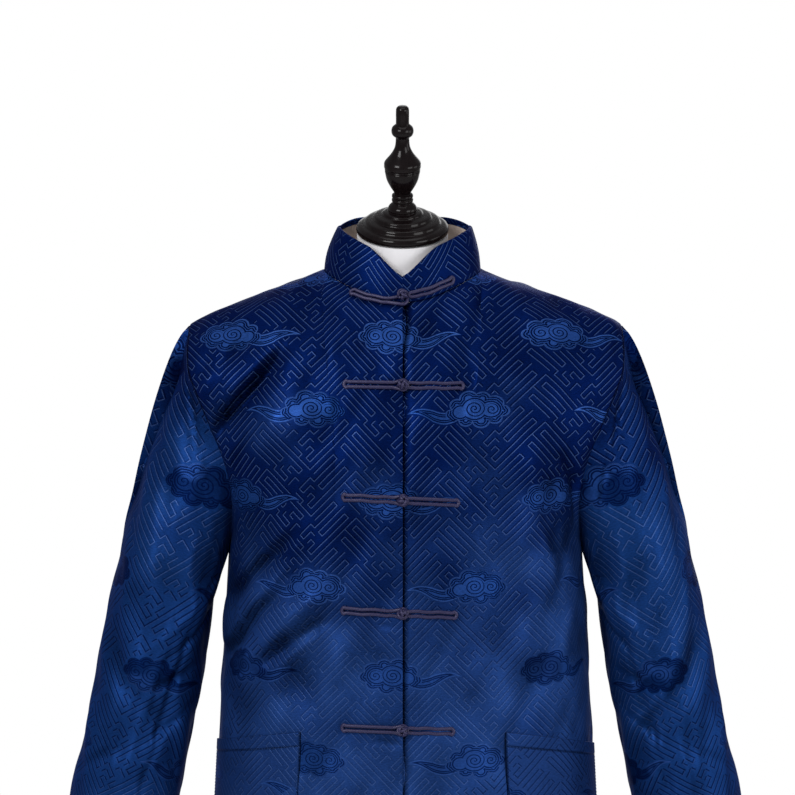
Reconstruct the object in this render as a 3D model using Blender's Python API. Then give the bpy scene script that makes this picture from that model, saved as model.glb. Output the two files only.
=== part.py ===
"""A stand-collar burial jacket worn by a limbless dress form on a round stand.

Metres, +Z up. The jacket's front faces -Y and the wearer's left is at +X. The
origin is on the floor, under the middle of the stand. The cloth is built as
hollow walls: each piece is a grid of points on the garment's outer surface,
with a second grid one cloth thickness inside it.
"""
from collections import namedtuple
from math import acos, asin, cos, pi, radians, sin, sqrt, tan

import bmesh
import bpy
from mathutils import Matrix, Vector

# Cloth
WALL = 0.0015
SEAM_GAP = 0.0003
HALF_GAP = SEAM_GAP / 2

# Heights of the jacket
HEM_Z = 0.720
ARMPIT_Z = 1.152
POCKET_BOTTOM_Z = 0.805
POCKET_TOP_Z = 0.970
POCKET_SLANT = 0.018

# Curves of the cross-sections: 2 is an ellipse, more is squarer
SECTION_POWER = 2.4
FRONT_ARCH_POWER = 2.2
BACK_ARCH_POWER = 2.8

# Neckline, in plan
NECK_HALF_WIDTH = 0.082
NECK_CENTRE_Y = -0.0075
NECK_FRONT = 0.0675
NECK_BACK = 0.066

# The jacket hangs a little to the wearer's left beyond the neck
LEFT_EASE = 0.0066
EASE_START = 0.090
EASE_END = 0.170

# Centre front opening
OPENING_HALF_GAP = 0.0008
UNDERLAP_HALF_WIDTH = 0.018

# Armhole: how far its edge stands in front of the shoulder line, as a share of
# the chest's depth, and over which angle of the shoulder's arch it gets there
ARMHOLE_DEPTH_SHARE = 0.60
ARMHOLE_BOTTOM_ANGLE = radians(36)

# Sleeves
SLEEVE_LEAN = radians(11.4)
BICEP_CENTRE = Vector((0.2445, -0.002, 1.128))
CUFF_CENTRE_Z = 0.795
CUFF_CENTRE_Y = -0.018
SLEEVE_BEND_POWER = 1.5
SLEEVE_FOLD_REACH = 1.2

# How strongly the sleeve head leaves the armhole and comes down to the bicep, as
# shares of the way between them, and how much more it does so on the outside
HEAD_START_PULL = 0.34
HEAD_START_PULL_OUTSIDE = 0.06
HEAD_END_PULL = 0.75
HEAD_END_PULL_OUTSIDE = 0.35

# Collar
COLLAR_CORNER = 0.036
COLLAR_NOTCH_HEIGHT = 0.025
COLLAR_FRONT_HEIGHT = 0.049
COLLAR_SIDE_HEIGHT = 0.045
COLLAR_BACK_HEIGHT = 0.054
COLLAR_LEAN_RIGHT = 0.015
COLLAR_LEAN_LEFT = 0.010
COLLAR_LEAN_FRONT = 0.006
COLLAR_LEAN_BACK = 0.010
COLLAR_LEAN_POWER = 1.6
COLLAR_CORNER_POWER = 1.7
COLLAR_LAYER_GAP = 0.0004
LINING_DROP = 0.0015

# Frogs: two arms of doubled cord and a ball knot
FROG_ARM_HALF_WIDTH = 0.0042
FROG_ARM_THICKNESS = 0.0040
FROG_ARM_START = 0.0068
FROG_LIFT = 0.0006
FROG_END_FLARE = 0.14
FROG_END_REACH = 0.20
FROG_END_TAPER = 0.72
KNOT_RADIUS = 0.0060
KNOT_FLATTENING = 0.82
KNOT_LIFT = 0.0002

# Dress form and stand
TORSO_BOTTOM_Z = 0.790
TORSO_POWER = 2.3
SHOULDER_CONTACT = 0.0007
NECK_ROOT_Z = 1.425
NECK_TOP_HALF_WIDTH = 0.0475
NECK_TOP_DEPTH = 0.0460
CAP_TILT = radians(18)
CAP_CENTRE = Vector((0.0, -0.015, 1.483))
POLE_RADIUS = 0.015
BASE_RADIUS = 0.185
BASE_EDGE = 0.010
BASE_ROUNDING = 0.002
BASE_SLOPE = 0.006
BASE_HUB_RADIUS = 0.032
BASE_HUB_FLARE = 0.020
BASE_HUB_Z = 0.040
BASE_COLLAR = 0.008

# How finely each piece is divided
ROWS_ABOVE_ARMPIT = 11
ARCH_ROW_POWER = 1.45
SLEEVE_HEAD_RINGS = 8
SLEEVE_TUBE_RINGS = 9
COLLAR_ROWS = 3
TORSO_SIDES = 32
CAP_SIDES = 20
POLE_SIDES = 24
BASE_SIDES = 48
FROG_STATIONS = 8

# Half-width and depths of the jacket's horizontal sections
Section = namedtuple("Section", "height half_width front back")
BODY_SECTIONS = (
    Section(height=0.700, half_width=0.2080, front=0.1440, back=0.1380),
    Section(height=0.860, half_width=0.1990, front=0.1400, back=0.1340),
    Section(height=1.000, half_width=0.1915, front=0.1370, back=0.1300),
    Section(height=1.080, half_width=0.1870, front=0.1360, back=0.1280),
    Section(height=1.152, half_width=0.1830, front=0.1360, back=0.1270),
    Section(height=1.200, half_width=0.1830, front=0.1360, back=0.1270),
)

# The shoulder's ridge, from the middle of the neck to the end of the shoulder
Ridge = namedtuple("Ridge", "half_width height")
SHOULDER_RIDGE = (
    Ridge(half_width=0.000, height=1.4510),
    Ridge(half_width=0.050, height=1.4480),
    Ridge(half_width=0.082, height=1.4400),
    Ridge(half_width=0.110, height=1.4285),
    Ridge(half_width=0.150, height=1.4142),
    Ridge(half_width=0.180, height=1.4025),
    Ridge(half_width=0.205, height=1.3918),
    Ridge(half_width=0.230, height=1.3780),
    Ridge(half_width=0.250, height=1.3650),
)

# The armhole seam as seen from the front: rise is 0 at the armpit, 1 at the shoulder
Armhole = namedtuple("Armhole", "rise half_width")
ARMHOLE = (
    Armhole(rise=0.00, half_width=0.1830),
    Armhole(rise=0.12, half_width=0.1825),
    Armhole(rise=0.26, half_width=0.1860),
    Armhole(rise=0.40, half_width=0.1950),
    Armhole(rise=0.54, half_width=0.2070),
    Armhole(rise=0.68, half_width=0.2180),
    Armhole(rise=0.82, half_width=0.2260),
    Armhole(rise=1.00, half_width=0.2240),
)

# Half-sizes of the sleeve across (as seen from the front) and fore and aft
SleeveSection = namedtuple("SleeveSection", "run across deep")
SLEEVE_SECTIONS = (
    SleeveSection(run=0.00, across=0.0555, deep=0.0680),
    SleeveSection(run=0.35, across=0.0560, deep=0.0620),
    SleeveSection(run=0.70, across=0.0565, deep=0.0540),
    SleeveSection(run=1.00, across=0.0570, deep=0.0490),
)

# Largest folds. Each runs from start to end on the front or back as seen from
# the front, with a positive height for a ridge and a negative one for a trough
Fold = namedtuple("Fold", "face x_start z_start x_end z_end half_width height")
BODY_FOLDS = (
    Fold(face=-1, x_start=-0.12, z_start=1.372, x_end=-0.2, z_end=1.24, half_width=0.03, height=-0.0055),
    Fold(face=-1, x_start=-0.085, z_start=1.35, x_end=-0.17, z_end=1.2, half_width=0.036, height=0.004),
    Fold(face=-1, x_start=-0.1, z_start=1.15, x_end=-0.186, z_end=1.01, half_width=0.038, height=0.0045),
    Fold(face=-1, x_start=-0.06, z_start=1.11, x_end=-0.16, z_end=0.96, half_width=0.034, height=-0.0035),
    Fold(face=-1, x_start=0.15, z_start=1.29, x_end=0.176, z_end=1.11, half_width=0.03, height=-0.005),
    Fold(face=-1, x_start=0.118, z_start=1.26, x_end=0.138, z_end=1.06, half_width=0.034, height=0.004),
    Fold(face=-1, x_start=0.05, z_start=1.06, x_end=0.11, z_end=0.76, half_width=0.042, height=0.0045),
    Fold(face=-1, x_start=-0.07, z_start=0.96, x_end=-0.095, z_end=0.7, half_width=0.042, height=0.005),
    Fold(face=1, x_start=-0.13, z_start=1.33, x_end=-0.168, z_end=1.12, half_width=0.036, height=-0.005),
    Fold(face=1, x_start=0.135, z_start=1.32, x_end=0.166, z_end=1.11, half_width=0.036, height=-0.005),
    Fold(face=1, x_start=-0.06, z_start=1.12, x_end=-0.095, z_end=0.72, half_width=0.044, height=0.0055),
    Fold(face=1, x_start=0.05, z_start=1.08, x_end=0.08, z_end=0.72, half_width=0.044, height=0.0055),
    Fold(face=1, x_start=-0.005, z_start=1.0, x_end=-0.01, z_end=0.72, half_width=0.04, height=-0.004),
)

# Sleeve folds: turn is the angle round the sleeve from the underarm through the
# front, run is 0 at the bicep and 1 at the cuff
SleeveFold = namedtuple("SleeveFold", "turn run slope half_width height")
SLEEVE_FOLDS = (
    SleeveFold(turn=40, run=0.08, slope=0.16, half_width=0.10, height=0.0035),
    SleeveFold(turn=110, run=0.36, slope=-0.12, half_width=0.09, height=-0.0030),
    SleeveFold(turn=80, run=0.58, slope=0.14, half_width=0.10, height=0.0030),
    SleeveFold(turn=250, run=0.42, slope=0.12, half_width=0.10, height=-0.0035),
    SleeveFold(turn=290, run=0.68, slope=-0.14, half_width=0.10, height=0.0035),
)

# Frogs on the fronts, from the top: height at the opening, how far each arm
# reaches from it, and how much it climbs towards the wearer's left
FrogPlace = namedtuple("FrogPlace", "height arm_right arm_left tilt")
FROG_PLACES = (
    FrogPlace(height=1.3270, arm_right=0.060, arm_left=0.062, tilt=-0.015),
    FrogPlace(height=1.2110, arm_right=0.061, arm_left=0.057, tilt=-0.050),
    FrogPlace(height=1.0950, arm_right=0.062, arm_left=0.055, tilt=-0.040),
    FrogPlace(height=0.9745, arm_right=0.062, arm_left=0.052, tilt=-0.030),
)
COLLAR_FROG_ARM = 0.052
COLLAR_FROG_LIFT = 0.0026
COLLAR_FROG_DROP = 0.0058
COLLAR_FROG_RISE_START = 0.0062
COLLAR_FROG_RISE_END = 0.0085
COLLAR_KNOT_RISE = 0.0070
COLLAR_CORD_LIFT = 0.0010
FRONT_BELOW_SEAM = 0.012

# The section of a doubled cord, in half-widths across and thicknesses up
CordEdge = namedtuple("CordEdge", "across up")
CORD_OUTLINE = (
    CordEdge(across=-1.00, up=0.15),
    CordEdge(across=-0.95, up=0.65),
    CordEdge(across=-0.50, up=1.00),
    CordEdge(across=0.00, up=0.78),
    CordEdge(across=0.50, up=1.00),
    CordEdge(across=0.95, up=0.65),
    CordEdge(across=1.00, up=0.15),
    CordEdge(across=0.00, up=0.00),
)

# Half-sizes of the torso below the armpit, with the middle of each section
TorsoSection = namedtuple("TorsoSection", "height half_width front back")
TORSO_SECTIONS = (
    TorsoSection(height=0.790, half_width=0.1500, front=0.1000, back=0.1020),
    TorsoSection(height=0.850, half_width=0.1600, front=0.1060, back=0.1080),
    TorsoSection(height=0.930, half_width=0.1560, front=0.1040, back=0.1020),
    TorsoSection(height=1.010, half_width=0.1470, front=0.1040, back=0.0960),
    TorsoSection(height=1.090, half_width=0.1530, front=0.1120, back=0.1020),
    TorsoSection(height=1.160, half_width=0.1640, front=0.1200, back=0.1090),
    TorsoSection(height=1.230, half_width=0.1700, front=0.1180, back=0.1080),
)

# The torso's shoulders, which follow the cloth but are no wider than widest
TorsoShoulder = namedtuple("TorsoShoulder", "height widest front back power")
TORSO_SHOULDERS = (
    TorsoShoulder(height=1.290, widest=0.188, front=0.106, back=0.102, power=2.2),
    TorsoShoulder(height=1.335, widest=0.197, front=0.092, back=0.092, power=2.0),
    TorsoShoulder(height=1.372, widest=0.212, front=0.077, back=0.081, power=1.8),
    TorsoShoulder(height=1.392, widest=0.212, front=0.068, back=0.073, power=1.7),
    TorsoShoulder(height=1.408, widest=0.212, front=0.061, back=0.067, power=1.7),
    TorsoShoulder(height=1.421, widest=0.212, front=0.055, back=0.061, power=1.7),
)

# The root of its neck, with each ring's tilt in degrees
TorsoNeck = namedtuple("TorsoNeck", "height half_width front back tilt")
TORSO_NECK = (
    TorsoNeck(height=1.430, half_width=0.0760, front=0.0540, back=0.0580, tilt=2),
    TorsoNeck(height=1.438, half_width=0.0600, front=0.0500, back=0.0530, tilt=6),
    TorsoNeck(height=1.448, half_width=0.0510, front=0.0470, back=0.0480, tilt=11),
    TorsoNeck(height=1.460, half_width=0.0485, front=0.0465, back=0.0460, tilt=15),
)

# The cap and finial, turned: distance along its axis from the rim, and radius
Turning = namedtuple("Turning", "along radius")
CAP_PROFILE = (
    Turning(along=-0.0050, radius=0.0440),
    Turning(along=-0.0030, radius=0.0475),
    Turning(along=0.0000, radius=0.0483),
    Turning(along=0.0030, radius=0.0475),
    Turning(along=0.0050, radius=0.0445),
    Turning(along=0.0065, radius=0.0410),
    Turning(along=0.0095, radius=0.0395),
    Turning(along=0.0115, radius=0.0320),
    Turning(along=0.0145, radius=0.0300),
    Turning(along=0.0162, radius=0.0225),
    Turning(along=0.0190, radius=0.0165),
    Turning(along=0.0225, radius=0.0128),
    Turning(along=0.0270, radius=0.0110),
    Turning(along=0.0300, radius=0.0104),
    Turning(along=0.0385, radius=0.0104),
    Turning(along=0.0396, radius=0.0083),
    Turning(along=0.0428, radius=0.0101),
    Turning(along=0.0490, radius=0.0138),
    Turning(along=0.0555, radius=0.0167),
    Turning(along=0.0630, radius=0.0184),
    Turning(along=0.0700, radius=0.0192),
    Turning(along=0.0746, radius=0.0184),
    Turning(along=0.0826, radius=0.0120),
    Turning(along=0.0905, radius=0.0080),
    Turning(along=0.0990, radius=0.0071),
    Turning(along=0.1014, radius=0.0078),
    Turning(along=0.1040, radius=0.0106),
    Turning(along=0.1080, radius=0.0116),
    Turning(along=0.1120, radius=0.0106),
    Turning(along=0.1146, radius=0.0078),
    Turning(along=0.1160, radius=0.0069),
    Turning(along=0.1310, radius=0.0068),
    Turning(along=0.1345, radius=0.0048),
)

# Finishes, with the colour as linear red, green and blue
Finish = namedtuple("Finish", "colour roughness metallic")
SATIN = Finish(colour=(0.014, 0.034, 0.165), roughness=0.42, metallic=0.0)
FROG_CORD = Finish(colour=(0.045, 0.045, 0.125), roughness=0.60, metallic=0.0)
LINING = Finish(colour=(0.520, 0.420, 0.340), roughness=0.70, metallic=0.0)
FORM_CLOTH = Finish(colour=(0.800, 0.790, 0.800), roughness=0.70, metallic=0.0)
TURNED_WOOD = Finish(colour=(0.014, 0.011, 0.012), roughness=0.25, metallic=0.0)
STAND_PAINT = Finish(colour=(0.018, 0.018, 0.020), roughness=0.40, metallic=0.3)


def smooth_column(rows, key, value, at):
    """Read one column of a table at a place between its rows, on a smooth curve."""
    keys = [getattr(row, key) for row in rows]
    values = [getattr(row, value) for row in rows]
    last = len(rows) - 1
    at = min(max(at, keys[0]), keys[last])
    i = 0
    while i < last - 1 and at > keys[i + 1]:
        i += 1

    def slope(k):
        low = max(k - 1, 0)
        high = min(k + 1, last)
        return (values[high] - values[low]) / (keys[high] - keys[low])

    width = keys[i + 1] - keys[i]
    t = (at - keys[i]) / width
    t2 = t * t
    t3 = t2 * t
    return (
        values[i] * (2 * t3 - 3 * t2 + 1)
        + slope(i) * width * (t3 - 2 * t2 + t)
        + values[i + 1] * (3 * t2 - 2 * t3)
        + slope(i + 1) * width * (t3 - t2)
    )


def signed_power(value, power):
    """A power that keeps its sign, for squared-off circles."""
    return abs(value) ** power * (1 if value >= 0 else -1)


def bump(distance):
    """1 at the middle, falling softly to 0 at a distance of 1 on each side."""
    if abs(distance) >= 1:
        return 0.0
    return 0.5 + 0.5 * cos(pi * distance)


def ridge_height(x):
    return smooth_column(SHOULDER_RIDGE, "half_width", "height", abs(x))


def fold_height(x, z, face):
    """How far the folds move the body's cloth in or out."""
    total = 0.0
    for fold in BODY_FOLDS:
        if fold.face != face:
            continue
        run_x = fold.x_end - fold.x_start
        run_z = fold.z_end - fold.z_start
        length = sqrt(run_x ** 2 + run_z ** 2)
        along = ((x - fold.x_start) * run_x + (z - fold.z_start) * run_z) / length ** 2
        aside = ((x - fold.x_start) * run_z - (z - fold.z_start) * run_x) / length
        total += fold.height * bump(aside / fold.half_width) * bump(2 * along - 1)
    return total


# Body


def lower_point(turn, height, face):
    """A point of the body below the armpit. turn runs from 0 at the centre to a
    quarter circle at the side seam, negative to the wearer's right."""
    depth_name = "front" if face < 0 else "back"
    half_width = smooth_column(BODY_SECTIONS, "height", "half_width", height)
    depth = smooth_column(BODY_SECTIONS, "height", depth_name, height)
    x = half_width * signed_power(sin(turn), 2 / SECTION_POWER)
    y = face * depth * abs(cos(turn)) ** (2 / SECTION_POWER)
    return Vector((x, y, height))


def armhole_depth_share(arch):
    """How far forward the armhole's edge is, as a share of the section's depth."""
    rest = 1 - min(arch / ARMHOLE_BOTTOM_ANGLE, 1.0)
    return ARMHOLE_DEPTH_SHARE * sqrt(1 - rest ** 2)


def upper_point(across, arch, face):
    """A point of the body above the armpit. across is 0 at the centre and 1 or -1
    at the armhole; arch is 0 at the armpit's level and a quarter circle at the
    shoulder's ridge."""
    arch_power = FRONT_ARCH_POWER if face < 0 else BACK_ARCH_POWER
    rise = sin(arch) ** (2 / arch_power)
    lean = max(cos(arch), 0.0) ** (2 / arch_power)
    edge_share = armhole_depth_share(arch)
    last_turn = acos(edge_share ** (SECTION_POWER / 2))
    edge_x = smooth_column(ARMHOLE, "rise", "half_width", rise)
    half_width = edge_x / sin(last_turn) ** (2 / SECTION_POWER)
    x = half_width * signed_power(sin(across * last_turn), 2 / SECTION_POWER)
    depth_name = "front" if face < 0 else "back"
    depth = smooth_column(BODY_SECTIONS, "height", depth_name, ARMPIT_Z)
    y = face * depth * lean * cos(across * last_turn) ** (2 / SECTION_POWER)
    z = ARMPIT_Z + (ridge_height(x) - ARMPIT_Z) * rise
    return Vector((x, y, z))


def neckline_y(x, face):
    reach = NECK_FRONT if face < 0 else NECK_BACK
    return NECK_CENTRE_Y + face * reach * sqrt(max(1 - (x / NECK_HALF_WIDTH) ** 2, 0.0))


def arch_at_neckline(across, face):
    """The arch angle where a column of cloth meets the neckline, or the ridge."""
    low = 0.0
    high = pi / 2
    top = upper_point(across, high, face)
    if abs(top.x) >= NECK_HALF_WIDTH - 1e-6:
        return high
    for _ in range(40):
        middle = (low + high) / 2
        point = upper_point(across, middle, face)
        if face * (point.y - neckline_y(point.x, face)) > 0:
            low = middle
        else:
            high = middle
    return (low + high) / 2


def across_at(x, arch):
    """The share of the way to the armhole at which a row of cloth reaches x."""
    low = 0.0
    high = 1.0
    for _ in range(40):
        middle = (low + high) / 2
        if upper_point(middle, arch, -1).x < x:
            low = middle
        else:
            high = middle
    return (low + high) / 2


def evenly(start, end, steps):
    return [start + (end - start) * i / steps for i in range(steps)]


NECK_ACROSS = across_at(NECK_HALF_WIDTH, pi / 2)
NECK_COLUMN = 6
POCKET_INNER_ACROSS = 0.317
POCKET_OUTER_ACROSS = 0.935
POCKET_FIRST_COLUMN = NECK_COLUMN + 1
POCKET_LAST_COLUMN = POCKET_FIRST_COLUMN + 6
COLUMNS = (
    [NECK_ACROSS * sin(pi / 2 * j / NECK_COLUMN) for j in range(NECK_COLUMN + 1)]
    + evenly(POCKET_INNER_ACROSS, POCKET_OUTER_ACROSS, 6)
    + [POCKET_OUTER_ACROSS, 1.0]
)

POCKET_BOTTOM_ROW = 2
POCKET_TOP_ROW = 6
LOWER_ROWS = (
    evenly(HEM_Z, POCKET_BOTTOM_Z, POCKET_BOTTOM_ROW)
    + evenly(POCKET_BOTTOM_Z, POCKET_TOP_Z, POCKET_TOP_ROW - POCKET_BOTTOM_ROW)
    + evenly(POCKET_TOP_Z, ARMPIT_Z, 6)
)
ARMPIT_ROW = len(LOWER_ROWS)


def arch_step(row):
    """Rows above the armpit are closest together at the armhole's bottom."""
    return (row / ROWS_ABOVE_ARMPIT) ** ARCH_ROW_POWER


def row_height(row, across, face):
    """Rows of the front dip towards the side at the pocket's mouth."""
    if face > 0:
        return LOWER_ROWS[row]
    if row <= POCKET_TOP_ROW:
        share = max(row - POCKET_BOTTOM_ROW, 0) / (POCKET_TOP_ROW - POCKET_BOTTOM_ROW)
    else:
        share = (ARMPIT_ROW - row) / (ARMPIT_ROW - POCKET_TOP_ROW)
    reach = (abs(across) - POCKET_INNER_ACROSS) / (POCKET_OUTER_ACROSS - POCKET_INNER_ACROSS)
    return LOWER_ROWS[row] - POCKET_SLANT * share * min(max(reach, 0.0), 1.0)


def body_column(across, face):
    """One column of outer points, from the hem to the neckline or shoulder."""
    points = []
    for row in range(ARMPIT_ROW):
        points.append(lower_point(across * pi / 2, row_height(row, across, face), face))
    top = arch_at_neckline(across, face)
    for row in range(ROWS_ABOVE_ARMPIT + 1):
        points.append(upper_point(across, top * arch_step(row), face))
    return points


def normals_of(grid, sign, around=False):
    """Unit normals of a grid of points, from the differences of its neighbours."""
    rows = len(grid)
    columns = len(grid[0])
    normals = []
    for i in range(rows):
        line = []
        for j in range(columns):
            below = grid[max(i - 1, 0)][j]
            above = grid[min(i + 1, rows - 1)][j]
            if around:
                left = grid[i][(j - 1) % columns]
                right = grid[i][(j + 1) % columns]
            else:
                left = grid[i][max(j - 1, 0)]
                right = grid[i][min(j + 1, columns - 1)]
            line.append((right - left).cross(above - below).normalized() * sign)
        normals.append(line)
    return normals


def moved(grid, normals, distance):
    return [
        [point + normal * distance for point, normal in zip(points, directions)]
        for points, directions in zip(grid, normals)
    ]


# Meshes and objects


def material(name, finish):
    made = bpy.data.materials.new(name)
    made.use_nodes = True
    shader = made.node_tree.nodes["Principled BSDF"]
    shader.inputs["Base Color"].default_value = (*finish.colour, 1.0)
    shader.inputs["Roughness"].default_value = finish.roughness
    shader.inputs["Metallic"].default_value = finish.metallic
    made.diffuse_color = (*finish.colour, 1.0)
    return made


def make_object(name, points, faces, finish, smooth_angle=50):
    mesh = bpy.data.meshes.new(name)
    mesh.from_pydata([tuple(point) for point in points], [], faces)
    work = bmesh.new()
    work.from_mesh(mesh)
    bmesh.ops.recalc_face_normals(work, faces=work.faces)
    bmesh.ops.triangulate(work, faces=work.faces)
    work.to_mesh(mesh)
    work.free()
    mesh.shade_smooth()
    mesh.set_sharp_from_angle(angle=radians(smooth_angle))
    mesh.materials.append(material(f"{name}_finish", finish))
    made = bpy.data.objects.new(name, mesh)
    bpy.context.scene.collection.objects.link(made)
    return made


def eased(point):
    """Cloth beyond the neck on the wearer's left sits a little further out."""
    share = min(max((point.x - EASE_START) / (EASE_END - EASE_START), 0.0), 1.0)
    return point + Vector((LEFT_EASE * share * share * (3 - 2 * share), 0.0, 0.0))


def wall(name, outer, inner, finish, around=False):
    """A closed cloth wall between two grids of points; around joins the last
    column to the first, as on a sleeve."""
    rows = len(outer)
    columns = len(outer[0])
    points = [eased(p) for line in outer for p in line] + [eased(p) for line in inner for p in line]
    offset = rows * columns
    last = columns if around else columns - 1
    faces = []
    for i in range(rows - 1):
        for j in range(last):
            k = (j + 1) % columns
            a = i * columns + j
            b = i * columns + k
            c = (i + 1) * columns + k
            d = (i + 1) * columns + j
            faces.append((a, b, c, d))
            faces.append((d + offset, c + offset, b + offset, a + offset))
    for j in range(last):
        k = (j + 1) % columns
        top = (rows - 1) * columns
        faces.append((j + offset, k + offset, k, j))
        faces.append((top + j, top + k, top + k + offset, top + j + offset))
    if not around:
        for i in range(rows - 1):
            a = i * columns
            d = a + columns
            faces.append((a, d, d + offset, a + offset))
            right = a + columns - 1
            above = right + columns
            faces.append((right + offset, above + offset, above, right))
    return make_object(name, points, faces, finish)


def tube(name, rings, finish, smooth_angle=50):
    """A closed solid through rings of the same number of points."""
    sides = len(rings[0])
    points = [p for ring in rings for p in ring]
    faces = []
    for i in range(len(rings) - 1):
        for j in range(sides):
            k = (j + 1) % sides
            faces.append((i * sides + j, i * sides + k, (i + 1) * sides + k, (i + 1) * sides + j))
    faces.append(tuple(reversed(range(sides))))
    start = (len(rings) - 1) * sides
    faces.append(tuple(range(start, start + sides)))
    return make_object(name, points, faces, finish, smooth_angle)


# The jacket's body


def smooth_body_grid(face, side):
    """Outer points of half of the front or back, rows by columns, side +1 or -1."""
    columns = [body_column(across * side, face) for across in COLUMNS]
    return [list(row) for row in zip(*columns)]


def outward(grid, normals, face):
    """Turn normals so that the middle of the cloth points away from the wearer."""
    middle = normals[ARMPIT_ROW // 2][len(grid[0]) // 3]
    sign = 1 if middle.y * face > 0 else -1
    return [[n * sign for n in line] for line in normals]


def body_grids(face, side):
    """The folded outer points and the outward normals of one half of the body."""
    plain = smooth_body_grid(face, side)
    normals = outward(plain, normals_of(plain, 1), face)
    last = len(COLUMNS) - 1
    for i in range(ARMPIT_ROW + 1):
        normals[i][last] = Vector((side, 0.0, 0.0))
    for j in range(NECK_COLUMN, last + 1):
        flat = Vector((normals[-1][j].x, 0.0, normals[-1][j].z))
        normals[-1][j] = flat.normalized()
    for i in range(len(plain)):
        centre = normals[i][0]
        normals[i][0] = Vector((0.0, centre.y, centre.z)).normalized()
    outer = []
    for i, line in enumerate(plain):
        folded = []
        for j, point in enumerate(line):
            at_seam = j == last or i == len(plain) - 1 or j == 0
            height = 0.0 if at_seam else fold_height(point.x, point.z, face)
            folded.append(point + normals[i][j] * height + Vector((0.0, face * HALF_GAP, 0.0)))
        outer.append(folded)
    return outer, normals


def front_panel(name, side):
    outer, normals = body_grids(-1, side)
    for line in outer:
        line[0].x = side * OPENING_HALF_GAP
    wall(name, outer, moved(outer, normals, -WALL), SATIN)
    return outer, normals


def back_panel():
    left, left_normals = body_grids(1, 1)
    right, right_normals = body_grids(1, -1)
    outer = [r[:0:-1] + l for r, l in zip(right, left)]
    normals = [r[:0:-1] + l for r, l in zip(right_normals, left_normals)]
    wall("back", outer, moved(outer, normals, -WALL), SATIN)
    return {1: (left, left_normals), -1: (right, right_normals)}


def underlap():
    """A strip behind the opening, which fills the slit between the two fronts."""
    column = body_column(0.0, -1)
    depth = WALL + 2 * SEAM_GAP
    outer = []
    inner = []
    for i, point in enumerate(column):
        along = column[min(i + 1, len(column) - 1)] - column[max(i - 1, 0)]
        out = Vector((0.0, -along.z, along.y)).normalized()
        middle = point - out * depth
        edges = (-UNDERLAP_HALF_WIDTH, UNDERLAP_HALF_WIDTH)
        outer.append([middle + Vector((x, 0.0, 0.0)) for x in edges])
        inner.append([edge - out * WALL for edge in outer[-1]])
    wall("underlap", outer, inner, SATIN)


def pocket(name, outer, normals):
    """A patch pocket: the front's own points, moved out."""
    rows = range(POCKET_BOTTOM_ROW, POCKET_TOP_ROW + 1)
    columns = slice(POCKET_FIRST_COLUMN, POCKET_LAST_COLUMN + 1)
    cloth = [outer[i][columns] for i in rows]
    out = [normals[i][columns] for i in rows]
    inside = moved(cloth, out, SEAM_GAP * 1.5)
    outside = moved(cloth, out, SEAM_GAP * 1.5 + WALL)
    wall(name, outside, inside, SATIN)


# Sleeves


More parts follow.
